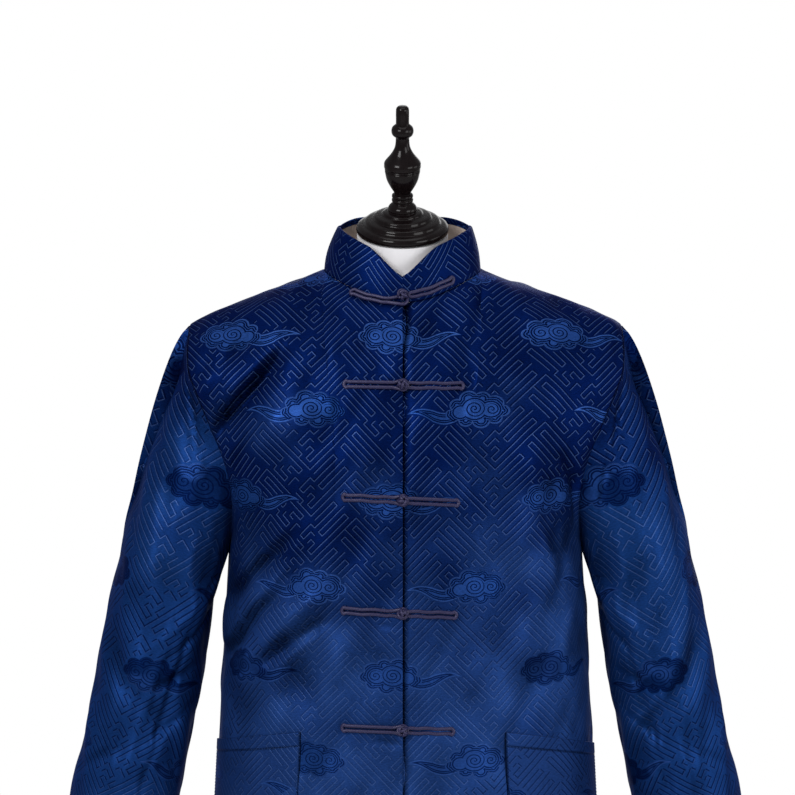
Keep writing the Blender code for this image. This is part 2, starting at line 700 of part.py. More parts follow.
def sleeve(name, side, front, back):
    """A set-in sleeve: its first ring is the armhole's edge, 0.3 mm off, and the
    rings turn into upright ovals round the arm's line by the bicep."""
    last = len(COLUMNS) - 1
    front_outer, front_normals = front
    back_outer, back_normals = back
    start = ARMPIT_ROW
    edge = []
    thickness = []
    before = []
    for grid, normals, order in ((front_outer, front_normals, 1), (back_outer, back_normals, -1)):
        rows = list(range(start, len(grid)))
        if order < 0:
            rows = rows[::-1]
        for i in rows:
            edge.append(grid[i][last].copy())
            thickness.append(normals[i][last])
            before.append((grid[i][last] - grid[i][last - 1]).normalized())
    half = len(edge) // 2
    top = (edge[half - 1] + edge[half]) / 2
    bottom = (edge[0] + edge[-1]) / 2
    ring = edge[1:half - 1] + [top] + edge[half + 1:-1]
    ring = [bottom] + ring
    walls = [thickness[0]] + thickness[1:half - 1] + [thickness[half]] + thickness[half + 1:-1]
    aims = [Vector((0.0, 0.0, 1.0))] + before[1:half - 1] + [before[half]] + before[half + 1:-1]
    count = len(ring)

    def oval(run, turn):
        across = smooth_column(SLEEVE_SECTIONS, "run", "across", run)
        deep = smooth_column(SLEEVE_SECTIONS, "run", "deep", run)
        drop = (BICEP_CENTRE.z - CUFF_CENTRE_Z) * run
        x = BICEP_CENTRE.x + drop * tan(SLEEVE_LEAN)
        y = BICEP_CENTRE.y + (CUFF_CENTRE_Y - BICEP_CENTRE.y) * run ** SLEEVE_BEND_POWER
        centre = Vector((x, y, BICEP_CENTRE.z - drop))
        sideways = Vector((cos(SLEEVE_LEAN), 0.0, sin(SLEEVE_LEAN)))
        fold = 0.0
        for item in SLEEVE_FOLDS:
            away = (turn - radians(item.turn) + pi) % (2 * pi) - pi
            middle = item.run + item.slope * away
            fold += item.height * bump((run - middle) / item.half_width) * bump(away / SLEEVE_FOLD_REACH)
        point = centre - sideways * (across + fold) * cos(turn)
        point.y -= (deep + fold) * sin(turn)
        return Vector((point.x * side, point.y, point.z))

    down = Vector((side * sin(SLEEVE_LEAN), 0.0, -cos(SLEEVE_LEAN)))
    turns = [2 * pi * k / count for k in range(count)]
    outer = []
    for i in range(SLEEVE_HEAD_RINGS):
        t = i / SLEEVE_HEAD_RINGS
        t2 = t * t
        t3 = t2 * t
        line = []
        for k in range(count):
            start_point = ring[k]
            end_point = oval(0.0, turns[k])
            length = (end_point - start_point).length
            aim = aims[k]
            outside = 0.5 - 0.5 * cos(turns[k])
            start_pull = aim * length * (HEAD_START_PULL + HEAD_START_PULL_OUTSIDE * outside)
            end_pull = down * length * (HEAD_END_PULL + HEAD_END_PULL_OUTSIDE * outside)
            point = start_point * (2 * t3 - 3 * t2 + 1) + start_pull * (t3 - 2 * t2 + t)
            point += end_point * (3 * t2 - 2 * t3) + end_pull * (t3 - t2)
            line.append(point + aim * SEAM_GAP * (1 - t))
        outer.append(line)
    for i in range(SLEEVE_TUBE_RINGS + 1):
        run = i / SLEEVE_TUBE_RINGS
        outer.append([oval(run, turn) for turn in turns])
    normals = normals_of(outer, 1, around=True)
    outside_point = normals[-3][count // 2]
    sign = 1 if outside_point.x * side > 0 else -1
    normals = [[n * sign for n in line] for line in normals]
    normals[0] = walls
    wall(name, outer, moved(outer, normals, -WALL), SATIN, around=True)


# Collar


def neckline_ring(front_right, front_left, backs):
    """The panels' own neck edge, from the opening round by the wearer's right,
    the back and the left, with each point's angle from the centre front."""
    right = front_right[0][-1][:NECK_COLUMN + 1]
    left = front_left[0][-1][:NECK_COLUMN + 1]
    back_right = backs[-1][0][-1][:NECK_COLUMN]
    back_left = backs[1][0][-1][:NECK_COLUMN]
    points = right + back_right[::-1] + back_left[1:] + left[::-1]
    count = len(points) - 1
    return [(-pi + 2 * pi * k / count, point) for k, point in enumerate(points)]


def ring_place(ring, turn):
    """The neck edge at an angle from the centre front, to the wearer's left."""
    angle = turn - pi if turn > 0 else turn + pi
    for (low, start), (high, end) in zip(ring, ring[1:]):
        if low - 1e-9 <= -angle <= high + 1e-9:
            return start.lerp(end, (-angle - low) / (high - low))
    return ring[0][1].copy()


def collar_height(turn):
    """The height of the collar round the neck, rounded off at its front corners."""
    end_height = COLLAR_FRONT_HEIGHT if cos(turn) > 0 else COLLAR_BACK_HEIGHT
    full = COLLAR_SIDE_HEIGHT + (end_height - COLLAR_SIDE_HEIGHT) * cos(turn) ** 2
    if cos(turn) <= 0:
        return full
    share = min(abs(NECK_HALF_WIDTH * sin(turn)) / COLLAR_CORNER, 1.0)
    return COLLAR_NOTCH_HEIGHT + (full - COLLAR_NOTCH_HEIGHT) * (1 - (1 - share) ** COLLAR_CORNER_POWER)


def collar_point(base, turn, share, inward):
    """share is 0 at the seam and 1 at the top edge; inward is a depth in the cloth."""
    height = collar_height(turn)
    out = Vector((sin(turn), -cos(turn), 0.0))
    middle = COLLAR_LEAN_FRONT if cos(turn) > 0 else COLLAR_LEAN_BACK
    side = COLLAR_LEAN_LEFT if turn > 0 else COLLAR_LEAN_RIGHT
    lean = side * sin(turn) ** 2 + middle * cos(turn) ** 2
    rise = height * share
    point = base - out * (lean * (rise / COLLAR_SIDE_HEIGHT) ** COLLAR_LEAN_POWER + inward)
    point.z += SEAM_GAP + rise
    return point


def collar_layer(name, ring, inward, top_drop, finish):
    grids = []
    for depth in (inward, inward + WALL):
        grid = []
        for row in range(COLLAR_ROWS + 1):
            share = row / COLLAR_ROWS * (1 - top_drop / COLLAR_SIDE_HEIGHT)
            line = []
            for angle, base in ring:
                turn = -(angle + pi) if angle < 0 else pi - angle
                line.append(collar_point(base, turn, share, depth))
            grid.append(line)
        grids.append(grid)
    wall(name, grids[0], grids[1], finish)


# Frogs


def doubled_cord(name, centres, outs, widths):
    """A doubled cord lying on the cloth: a flat rounded strip with a dent along it."""
    rings = []
    for i, (centre, out) in enumerate(zip(centres, outs)):
        along = centres[min(i + 1, len(centres) - 1)] - centres[max(i - 1, 0)]
        aside = along.cross(out).normalized()
        ring = []
        for edge in CORD_OUTLINE:
            lift = out * edge.up * FROG_ARM_THICKNESS
            ring.append(centre + aside * edge.across * widths[i] + lift)
        rings.append(ring)
    tube(name, rings, FROG_CORD)


def knot(name, seat, out):
    """The ball of a knot button, a little flattened against the cloth it sits on."""
    centre = seat + out * (KNOT_RADIUS * KNOT_FLATTENING + KNOT_LIFT)
    work = bmesh.new()
    bmesh.ops.create_icosphere(work, subdivisions=2, radius=KNOT_RADIUS)
    bmesh.ops.scale(work, verts=work.verts, vec=(1.0, KNOT_FLATTENING, 1.0))
    turn = Vector((0.0, -1.0, 0.0)).rotation_difference(out).to_matrix().to_4x4()
    bmesh.ops.transform(work, matrix=Matrix.Translation(centre) @ turn, verts=work.verts)
    points = [v.co.copy() for v in work.verts]
    faces = [tuple(v.index for v in f.verts) for f in work.faces]
    work.free()
    make_object(name, points, faces, FROG_CORD, smooth_angle=60)


def surface_at(x, z):
    """The front's plain outer point at a place seen from the front."""
    if z <= ARMPIT_Z:
        half_width = smooth_column(BODY_SECTIONS, "height", "half_width", z)
        turn = asin((abs(x) / half_width) ** (SECTION_POWER / 2))
        point = lower_point(turn, z, -1)
    else:
        rise = (z - ARMPIT_Z) / (ridge_height(x) - ARMPIT_Z)
        arch = asin(rise ** (FRONT_ARCH_POWER / 2))
        point = upper_point(across_at(abs(x), arch), arch, -1)
    return Vector((x, point.y - HALF_GAP, z))


def surface_normal(x, z):
    step = 0.004
    across = surface_at(x + step, z) - surface_at(x - step, z)
    up = surface_at(x, z + step) - surface_at(x, z - step)
    return across.cross(up).normalized()


def body_frog(number, place):
    arms = (("loop", -1, place.arm_right), ("button", 1, place.arm_left))
    for word, side, length in arms:
        centres = []
        outs = []
        widths = []
        for k in range(FROG_STATIONS + 1):
            share = k / FROG_STATIONS
            away = FROG_ARM_START + (length - FROG_ARM_START) * share
            x = side * away
            z = place.height + place.tilt * x
            out = surface_normal(x, z)
            folds = max(fold_height(x, z, -1), 0.0)
            centres.append(surface_at(x, z) + out * (FROG_LIFT + folds))
            outs.append(out)
            flare = 1.0 + FROG_END_FLARE * bump((share - 1.0) / FROG_END_REACH)
            taper = FROG_END_TAPER if k in (0, FROG_STATIONS) else 1.0
            widths.append(FROG_ARM_HALF_WIDTH * flare * taper)
        doubled_cord(f"frog_{number}_{word}", centres, outs, widths)
    seat = surface_at(0.0, place.height)
    knot(f"frog_{number}_knot", seat, surface_normal(0.0, place.height))


def seam_frame(ring, turn):
    """The collar's seam at an angle, with the directions out of the collar, out of
    the front's cloth and down that cloth."""
    step = radians(2)
    seam = ring_place(ring, turn)
    along = (ring_place(ring, turn + step) - ring_place(ring, turn - step)).normalized()
    collar_out = Vector((sin(turn), -cos(turn), 0.0))
    slope = surface_normal(seam.x, seam.z - FRONT_BELOW_SEAM)
    down = along.cross(slope).normalized()
    if down.z > 0:
        down = -down
    return seam, collar_out, slope, down


def collar_frog(ring):
    """The top frog: its loop arm runs off the collar's seam on to the front, and
    its button arm rises on the collar."""
    for word, side in (("loop", -1), ("button", 1)):
        centres = []
        outs = []
        widths = []
        for k in range(FROG_STATIONS + 1):
            share = k / FROG_STATIONS
            away = FROG_ARM_START + (COLLAR_FROG_ARM - FROG_ARM_START) * share
            turn = side * asin(away / NECK_HALF_WIDTH)
            seam, collar_out, slope, down = seam_frame(ring, turn)
            if side < 0:
                middle = (collar_out + slope).normalized()
                out = middle.lerp(slope, share).normalized()
                lift = COLLAR_FROG_LIFT + (FROG_LIFT * 2 - COLLAR_FROG_LIFT) * share
                centres.append(seam + down * COLLAR_FROG_DROP * share + out * lift)
            else:
                out = collar_out
                up = COLLAR_FROG_RISE_START + (COLLAR_FROG_RISE_END - COLLAR_FROG_RISE_START) * share
                base = collar_point(seam, turn, up / collar_height(turn), 0.0)
                centres.append(base + out * COLLAR_CORD_LIFT)
            outs.append(out)
            taper = FROG_END_TAPER if k in (0, FROG_STATIONS) else 1.0
            widths.append(FROG_ARM_HALF_WIDTH * taper)
        doubled_cord(f"frog_1_{word}", centres, outs, widths)
    seat = collar_point(ring[0][1], 0.0, COLLAR_KNOT_RISE / COLLAR_NOTCH_HEIGHT, 0.0)
    seat.x = 0.0
    knot("frog_1_knot", seat, Vector((0.0, -1.0, 0.0)))


# Dress form and stand


def shoulder_half_width(z, widest):
    """Where the form's shoulder line reaches this height, just under the cloth."""
    target = z + WALL + SHOULDER_CONTACT
    low = 0.0
    high = widest
    if ridge_height(high) >= target:
        return high
    for _ in range(40):
        middle = (low + high) / 2
        if ridge_height(middle) > target:
            low = middle
        else:
            high = middle
    return low


def form_ring(section, centre, half_width, tilt, power):
    """A ring of the form: section gives its front and back, and it tilts forward."""
    ring = []
    for k in range(TORSO_SIDES):
        turn = 2 * pi * k / TORSO_SIDES
        x = half_width * signed_power(sin(turn), 2 / power)
        reach = section.front if cos(turn) > 0 else section.back
        y = -reach * signed_power(cos(turn), 2 / power)
        ring.append(Vector((x, centre.y + y * cos(tilt), centre.z + y * sin(tilt))))
    return ring


def torso():
    rings = []
    for row in TORSO_SECTIONS:
        centre = Vector((0.0, 0.0, row.height))
        rings.append(form_ring(row, centre, row.half_width, 0.0, TORSO_POWER))
    for row in TORSO_SHOULDERS:
        centre = Vector((0.0, 0.0, row.height))
        half_width = shoulder_half_width(row.height, row.widest)
        rings.append(form_ring(row, centre, half_width, 0.0, row.power))
    for row in TORSO_NECK:
        share = (row.height - NECK_ROOT_Z) / (CAP_CENTRE.z - NECK_ROOT_Z)
        centre = Vector((0.0, CAP_CENTRE.y * share, row.height))
        rings.append(form_ring(row, centre, row.half_width, radians(row.tilt), 2))
    axis = Vector((0.0, -sin(CAP_TILT), cos(CAP_TILT)))
    top = CAP_CENTRE + axis * (CAP_PROFILE[0].along - SEAM_GAP)
    row = TorsoNeck(top.z, NECK_TOP_HALF_WIDTH, NECK_TOP_DEPTH, NECK_TOP_DEPTH, 0)
    rings.append(form_ring(row, top, row.half_width, CAP_TILT, 2))
    tube("form_torso", rings, FORM_CLOTH, smooth_angle=60)


def turned(name, profile, frame, sides, finish, smooth_angle):
    """A solid turned round the Z axis of a frame, from the bottom up."""
    rings = []
    for row in profile:
        ring = []
        for k in range(sides):
            turn = 2 * pi * k / sides
            local = Vector((row.radius * cos(turn), row.radius * sin(turn), row.along))
            ring.append(frame @ local)
        rings.append(ring)
    tube(name, rings, finish, smooth_angle)


def neck_cap():
    frame = Matrix.Translation(CAP_CENTRE) @ Matrix.Rotation(CAP_TILT, 4, "X")
    turned("neck_cap", CAP_PROFILE, frame, CAP_SIDES, TURNED_WOOD, 40)


def stand():
    base = (
        Turning(along=0.0, radius=BASE_RADIUS - BASE_ROUNDING),
        Turning(along=BASE_ROUNDING, radius=BASE_RADIUS),
        Turning(along=BASE_EDGE - BASE_ROUNDING, radius=BASE_RADIUS),
        Turning(along=BASE_EDGE, radius=BASE_RADIUS - BASE_ROUNDING),
        Turning(along=BASE_EDGE + BASE_SLOPE, radius=BASE_HUB_RADIUS + BASE_HUB_FLARE),
        Turning(along=BASE_EDGE + BASE_SLOPE * 1.5, radius=BASE_HUB_RADIUS),
        Turning(along=BASE_HUB_Z, radius=POLE_RADIUS + BASE_COLLAR),
    )
    pole = (
        Turning(along=BASE_HUB_Z + SEAM_GAP, radius=POLE_RADIUS),
        Turning(along=TORSO_BOTTOM_Z - SEAM_GAP, radius=POLE_RADIUS),
    )
    floor = Matrix.Identity(4)
    turned("stand_base", base, floor, BASE_SIDES, STAND_PAINT, 35)
    turned("stand_pole", pole, floor, POLE_SIDES, STAND_PAINT, 35)


def main():
    for item in list(bpy.data.objects):
        bpy.data.objects.remove(item)

    front_right = front_panel("front_right", -1)
    front_left = front_panel("front_left", 1)
    backs = back_panel()
    underlap()
    pocket("pocket_right", *front_right)
    pocket("pocket_left", *front_left)
    sleeve("sleeve_right", -1, front_right, backs[-1])
    sleeve("sleeve_left", 1, front_left, backs[1])
    ring = neckline_ring(front_right, front_left, backs)
    collar_layer("collar", ring, 0.0, 0.0, SATIN)
    collar_layer("collar_lining", ring, WALL + COLLAR_LAYER_GAP, LINING_DROP, LINING)
    collar_frog(ring)
    for number, place in enumerate(FROG_PLACES, start=2):
        body_frog(number, place)
    torso()
    neck_cap()
    stand()


main()
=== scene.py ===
# %% [markdown]
# # A burial jacket on a dress form
#
# The jacket is a short stand-collar jacket of dark blue satin jacquard, with a
# key fret and clouds woven into it, worn by a limbless white form with a black
# turned cap. The solids of the frame give every size. This script gives the
# cloth its creases, its weave and its sewing, and sets the studio light.

# %% Frame
from collections import namedtuple
from math import cos, pi, radians, sin, sqrt, tan

import bmesh
import bpy
import numpy as np
from mathutils import Matrix, Vector


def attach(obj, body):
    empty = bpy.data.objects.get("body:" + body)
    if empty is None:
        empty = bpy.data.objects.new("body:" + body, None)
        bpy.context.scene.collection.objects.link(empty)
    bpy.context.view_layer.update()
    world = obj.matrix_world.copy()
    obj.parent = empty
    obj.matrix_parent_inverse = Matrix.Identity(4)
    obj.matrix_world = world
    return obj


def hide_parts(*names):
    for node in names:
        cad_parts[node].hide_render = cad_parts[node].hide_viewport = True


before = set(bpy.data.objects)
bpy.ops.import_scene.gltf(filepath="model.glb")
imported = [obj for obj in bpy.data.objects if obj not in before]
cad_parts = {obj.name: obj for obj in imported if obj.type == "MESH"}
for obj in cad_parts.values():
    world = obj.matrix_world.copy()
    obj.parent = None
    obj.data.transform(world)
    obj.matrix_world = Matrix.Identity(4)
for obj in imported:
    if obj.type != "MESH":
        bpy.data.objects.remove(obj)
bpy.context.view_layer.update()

# %% [markdown]
# ## Camera
#
# The photo was taken from a little above the chest, far enough away that the
# sleeves hardly narrow. The camera stands 4 m off and looks down by 5 degrees.
# Its lens follows from how many millimetres of the chest one pixel shows.

# %% Camera
PHOTO_SIDE = 795
METRES_PER_PIXEL = 0.00104
CAMERA_DISTANCE = 4.0
CAMERA_DROP = radians(5)
CAMERA_AIM = Vector((-0.0052, -0.050, 1.309))
SENSOR = 36.0

camera_data = bpy.data.cameras.new("camera")
camera_data.sensor_width = SENSOR
camera_data.lens = SENSOR * CAMERA_DISTANCE / METRES_PER_PIXEL / PHOTO_SIDE
camera = bpy.data.objects.new("camera", camera_data)
bpy.context.scene.collection.objects.link(camera)
camera.location = CAMERA_AIM + Vector((0.0, -cos(CAMERA_DROP), sin(CAMERA_DROP))) * CAMERA_DISTANCE
camera.rotation_euler = (pi / 2 - CAMERA_DROP, 0.0, 0.0)
bpy.context.scene.camera = camera
print("lens:", round(camera_data.lens, 1), "mm")

# %% [markdown]
# ## Tables of the garment
#
# A tailor's block is a few widths and depths at named heights. The solids were
# made from the tables below, so the cloth repeats them, and a smooth curve
# reads them between their rows. Everything is in metres, and the form faces -Y.

# %% Body tables
HEM_Z = 0.720
ARMPIT_Z = 1.152
SECTION_POWER = 2.4
ARCH_POWER = {-1: 2.2, 1: 2.8}
NECK_HALF_WIDTH = 0.082
NECK_CENTRE_Y = -0.0075
NECK_REACH = {-1: 0.0675, 1: 0.066}
ARMHOLE_DEPTH_SHARE = 0.60
ARMHOLE_BOTTOM_ANGLE = radians(36)
LEFT_EASE = 0.0066
EASE_START = 0.090
EASE_END = 0.170
DEPTH = {-1: "front", 1: "back"}

Section = namedtuple("Section", "height half_width front back")
BODY_SECTIONS = (
    Section(height=0.700, half_width=0.2080, front=0.1440, back=0.1380),
    Section(height=0.860, half_width=0.1990, front=0.1400, back=0.1340),
    Section(height=1.000, half_width=0.1915, front=0.1370, back=0.1300),
    Section(height=1.080, half_width=0.1870, front=0.1360, back=0.1280),
    Section(height=1.152, half_width=0.1830, front=0.1360, back=0.1270),
    Section(height=1.200, half_width=0.1830, front=0.1360, back=0.1270),
)
Ridge = namedtuple("Ridge", "half_width height")
SHOULDER_RIDGE = (
    Ridge(half_width=0.000, height=1.4510),
    Ridge(half_width=0.050, height=1.4480),
    Ridge(half_width=0.082, height=1.4400),
    Ridge(half_width=0.110, height=1.4285),
    Ridge(half_width=0.150, height=1.4142),
    Ridge(half_width=0.180, height=1.4025),
    Ridge(half_width=0.205, height=1.3918),
    Ridge(half_width=0.230, height=1.3780),
    Ridge(half_width=0.250, height=1.3650),
)
Armhole = namedtuple("Armhole", "rise half_width")
ARMHOLE = (
    Armhole(rise=0.00, half_width=0.1830),
    Armhole(rise=0.12, half_width=0.1785),
    Armhole(rise=0.26, half_width=0.1800),
    Armhole(rise=0.40, half_width=0.1885),
    Armhole(rise=0.54, half_width=0.2010),
    Armhole(rise=0.68, half_width=0.2135),
    Armhole(rise=0.82, half_width=0.2235),
    Armhole(rise=1.00, half_width=0.2240),
)

# %% Reading the tables


def hermite(start, end, start_pull, end_pull, t):
    """A cubic curve that leaves its start and reaches its end along two pulls."""
    half = start * (2 * t ** 3 - 3 * t ** 2 + 1) + start_pull * (t ** 3 - 2 * t ** 2 + t)
    return half + end * (3 * t ** 2 - 2 * t ** 3) + end_pull * (t ** 3 - t ** 2)


def read(table, key, column, at):
    """Read a column of a table at places between its rows, on a smooth curve."""
    keys = np.array([getattr(row, key) for row in table])
    values = np.array([getattr(row, column) for row in table])
    at = np.clip(at, keys[0], keys[-1])
    i = np.clip(np.searchsorted(keys, at, side="right") - 1, 0, len(keys) - 2)
    low = np.maximum(np.arange(len(keys)) - 1, 0)
    high = np.minimum(np.arange(len(keys)) + 1, len(keys) - 1)
    slope = (values[high] - values[low]) / (keys[high] - keys[low])
    width = keys[i + 1] - keys[i]
    t = (at - keys[i]) / width
    return hermite(values[i], values[i + 1], slope[i] * width, slope[i + 1] * width, t)


def signed_power(value, power):
    return np.sign(value) * np.abs(value) ** power


def bump(distance):
    """1 at the middle, falling softly to 0 at a distance of 1 on each side."""
    return np.where(np.abs(distance) < 1, 0.5 + 0.5 * np.cos(pi * np.clip(distance, -1, 1)), 0.0)


def ridge_height(x):
    return read(SHOULDER_RIDGE, "half_width", "height", np.abs(x))


print("ridge at the neck:", round(float(ridge_height(NECK_HALF_WIDTH)), 4))

# %% [markdown]
# ## The body's surface
#
# Below the armpit the jacket is a stack of rounded, squared-off ovals. Above
# it the cloth arches over to the shoulder's ridge. Both are formulas of two
# numbers, which is what a cloth needs: one runs across it and one runs up it,
# so the same numbers also lay out the weave without stretching it.

# %% Body surface
HALVINGS = 40
SMALL = 1e-6


def lower_point(turn, height, face):
    half_width = read(BODY_SECTIONS, "height", "half_width", height)
    depth = read(BODY_SECTIONS, "height", DEPTH[face], height)
    x = half_width * signed_power(np.sin(turn), 2 / SECTION_POWER)
    y = face * depth * np.abs(np.cos(turn)) ** (2 / SECTION_POWER)
    return np.stack(np.broadcast_arrays(x, y, height), axis=-1)


def upper_point(across, arch, face):
    rise = np.sin(arch) ** (2 / ARCH_POWER[face])
    lean = np.maximum(np.cos(arch), 0.0) ** (2 / ARCH_POWER[face])
    rest = 1 - np.minimum(arch / ARMHOLE_BOTTOM_ANGLE, 1.0)
    edge_share = ARMHOLE_DEPTH_SHARE * np.sqrt(1 - rest ** 2)
    last_turn = np.arccos(edge_share ** (SECTION_POWER / 2))
    edge_x = read(ARMHOLE, "rise", "half_width", rise)
    half_width = edge_x / np.sin(last_turn) ** (2 / SECTION_POWER)
    x = half_width * signed_power(np.sin(across * last_turn), 2 / SECTION_POWER)
    depth = read(BODY_SECTIONS, "height", DEPTH[face], ARMPIT_Z)
    y = face * depth * lean * np.cos(across * last_turn) ** (2 / SECTION_POWER)
    z = ARMPIT_Z + (ridge_height(x) - ARMPIT_Z) * rise
    return np.stack(np.broadcast_arrays(x, y, z), axis=-1)


def halving(low, high, too_low):
    """Find, for many columns at once, where a condition stops being true."""
    for _ in range(HALVINGS):
        middle = (low + high) / 2
        below = too_low(middle)
        low = np.where(below, middle, low)
        high = np.where(below, high, middle)
    return (low + high) / 2


def arch_at_neckline(across, face):
    """The arch angle at which each column of cloth meets the neckline or the ridge."""

    def outside(arch):
        point = upper_point(across, arch, face)
        inside = np.maximum(1 - (point[..., 0] / NECK_HALF_WIDTH) ** 2, 0.0)
        edge = NECK_CENTRE_Y + face * NECK_REACH[face] * np.sqrt(inside)
        return face * (point[..., 1] - edge) > 0

    found = halving(np.zeros_like(across), np.full_like(across, pi / 2), outside)
    at_ridge = np.abs(upper_point(across, np.full_like(across, pi / 2), face)[..., 0])
    return np.where(at_ridge >= NECK_HALF_WIDTH - SMALL, pi / 2, found)


def across_at(x, arch):
    """How far across the cloth a row reaches a given half-width."""
    x = np.asarray(x, float)

    def too_low(across):
        return upper_point(across, arch, -1)[..., 0] < x

    return halving(np.zeros_like(x), np.ones_like(x), too_low)


NECK_ACROSS = float(across_at(NECK_HALF_WIDTH, pi / 2))
print("the neckline ends", round(NECK_ACROSS, 3), "of the way to the armhole")

# %% [markdown]
# ## Creases
#
# Satin on a form pulls from the armpits and the lowest frogs, and hangs in soft
# flutes below. The large folds are in the solids. Here they get their sharper
# edges, and smaller creases join them. Each crease is a row of a table, placed
# as it is seen from the front: a positive height is a ridge, a negative one a
# trough, and bend bows its line sideways.

# %% Creases of the body
Crease = namedtuple("Crease", "face x_start z_start x_end z_end half_width height bend")


def named_rows(kind, *rows):
    """A long table with a name for each column."""
    return tuple(kind(*row) for row in rows)


SOLID_FOLDS = named_rows(
    Crease,
    (-1, -0.120, 1.372, -0.200, 1.240, 0.030, -0.0055, 0),
    (-1, -0.085, 1.350, -0.170, 1.200, 0.036, 0.0040, 0),
    (-1, -0.100, 1.150, -0.186, 1.010, 0.038, 0.0045, 0),
    (-1, -0.060, 1.110, -0.160, 0.960, 0.034, -0.0035, 0),
    (-1, 0.150, 1.290, 0.176, 1.110, 0.030, -0.0050, 0),
    (-1, 0.118, 1.260, 0.138, 1.060, 0.034, 0.0040, 0),
    (-1, 0.050, 1.060, 0.110, 0.760, 0.042, 0.0045, 0),
    (-1, -0.070, 0.960, -0.095, 0.700, 0.042, 0.0050, 0),
    (1, -0.130, 1.330, -0.168, 1.120, 0.036, -0.0050, 0),
    (1, 0.135, 1.320, 0.166, 1.110, 0.036, -0.0050, 0),
    (1, -0.060, 1.120, -0.095, 0.720, 0.044, 0.0055, 0),
    (1, 0.050, 1.080, 0.080, 0.720, 0.044, 0.0055, 0),
    (1, -0.005, 1.000, -0.010, 0.720, 0.040, -0.0040, 0),
)
FINE_CREASES = named_rows(
    Crease,
    (-1, -0.112, 1.372, -0.208, 1.254, 0.0112, -0.0074, 0.003),
    (-1, -0.112, 1.346, -0.194, 1.228, 0.0130, 0.0026, 0.005),
    (-1, -0.166, 1.380, -0.214, 1.300, 0.0110, 0.0020, 0.004),
    (-1, -0.150, 1.392, -0.210, 1.330, 0.011, -0.0016, -0.004),
    (-1, -0.102, 1.184, -0.186, 1.090, 0.0110, -0.0056, 0.003),
    (-1, -0.106, 1.154, -0.186, 1.066, 0.0110, 0.0022, 0.003),
    (-1, -0.118, 1.122, -0.190, 1.030, 0.0112, -0.0078, 0.003),
    (-1, -0.082, 1.116, -0.168, 1.032, 0.0125, 0.0036, 0.002),
    (-1, -0.074, 1.092, -0.152, 1.030, 0.0110, -0.0044, 0.002),
    (-1, -0.032, 0.9640, 0.000, 0.9585, 0.0055, -0.0020, 0),
    (-1, -0.026, 1.0835, 0.000, 1.0800, 0.0050, -0.0014, 0),
    (-1, 0.158, 1.262, 0.180, 1.170, 0.0080, -0.0040, -0.006),
    (-1, 0.148, 1.252, 0.166, 1.150, 0.011, 0.0022, -0.006),
    (-1, 0.138, 1.200, 0.162, 1.100, 0.012, -0.0014, -0.004),
    (-1, 0.112, 1.380, 0.150, 1.300, 0.014, -0.0012, 0.005),
    (-1, -0.064, 1.330, -0.020, 1.270, 0.012, -0.0008, 0.003),
    (-1, 0.060, 1.330, 0.016, 1.262, 0.012, -0.0008, -0.003),
    (-1, -0.058, 1.214, -0.018, 1.170, 0.012, -0.0010, 0.003),
    (-1, 0.056, 1.205, 0.014, 1.150, 0.013, -0.0009, -0.003),
    (-1, -0.056, 1.098, -0.016, 1.040, 0.012, -0.0011, 0.004),
    (-1, 0.054, 1.090, 0.016, 1.020, 0.013, -0.0010, -0.004),
    (-1, 0.090, 1.080, 0.150, 0.960, 0.018, -0.0014, 0.006),
    (-1, 0.120, 1.120, 0.172, 1.040, 0.013, 0.0012, 0.004),
    (-1, -0.032, 0.960, -0.052, 0.740, 0.020, -0.0016, 0.004),
    (-1, 0.030, 0.960, 0.044, 0.740, 0.020, -0.0015, -0.004),
    (-1, -0.150, 0.960, -0.176, 0.800, 0.018, 0.0014, 0.004),
    (-1, 0.150, 0.960, 0.180, 0.800, 0.018, 0.0013, -0.004),
    (1, -0.150, 1.350, -0.192, 1.230, 0.012, -0.0030, 0.006),
    (1, 0.154, 1.350, 0.196, 1.240, 0.011, -0.0028, -0.006),
    (1, -0.110, 1.250, -0.178, 1.120, 0.013, 0.0024, 0.008),
    (1, 0.116, 1.260, 0.180, 1.130, 0.014, 0.0022, -0.008),
    (1, -0.120, 1.180, -0.184, 1.070, 0.012, -0.0026, 0.006),
    (1, 0.110, 1.160, 0.182, 1.060, 0.012, -0.0024, -0.006),
    (1, -0.030, 1.410, 0.040, 1.404, 0.013, -0.0012, 0.004),
    (1, -0.060, 1.380, 0.020, 1.372, 0.016, -0.0010, -0.004),
    (1, -0.030, 1.060, -0.052, 0.760, 0.020, -0.0018, 0.008),
    (1, 0.096, 1.020, 0.120, 0.730, 0.020, -0.0018, 0.006),
    (1, -0.120, 0.990, -0.140, 0.730, 0.022, 0.0018, 0.006),
    (1, 0.018, 1.130, 0.030, 0.900, 0.018, 0.0014, -0.005),
)
FINE_END_POWER = 2.4


def crease_shape(crease, x, z, end_power):
    """The height of one crease. A higher end power keeps it deep for longer."""
    run_x = crease.x_end - crease.x_start
    run_z = crease.z_end - crease.z_start
    length = sqrt(run_x ** 2 + run_z ** 2)
    along = ((x - crease.x_start) * run_x + (z - crease.z_start) * run_z) / length ** 2
    aside = ((x - crease.x_start) * run_z - (z - crease.z_start) * run_x) / length
    aside = aside - crease.bend * np.sin(pi * np.clip(along, 0, 1))
    ends = bump(signed_power(2 * along - 1, end_power))
    return crease.height * bump(aside / crease.half_width) * ends


def crease_height(x, z, face):
    """How far the folds and creases move the body's cloth in or out."""
    total = np.zeros(np.broadcast(x, z).shape)
    for creases, end_power in ((SOLID_FOLDS, 1), (FINE_CREASES, FINE_END_POWER)):
        for crease in creases:
            if crease.face == face:
                total = total + crease_shape(crease, x, z, end_power)
    return total


print("creases:", len(SOLID_FOLDS) + len(FINE_CREASES))

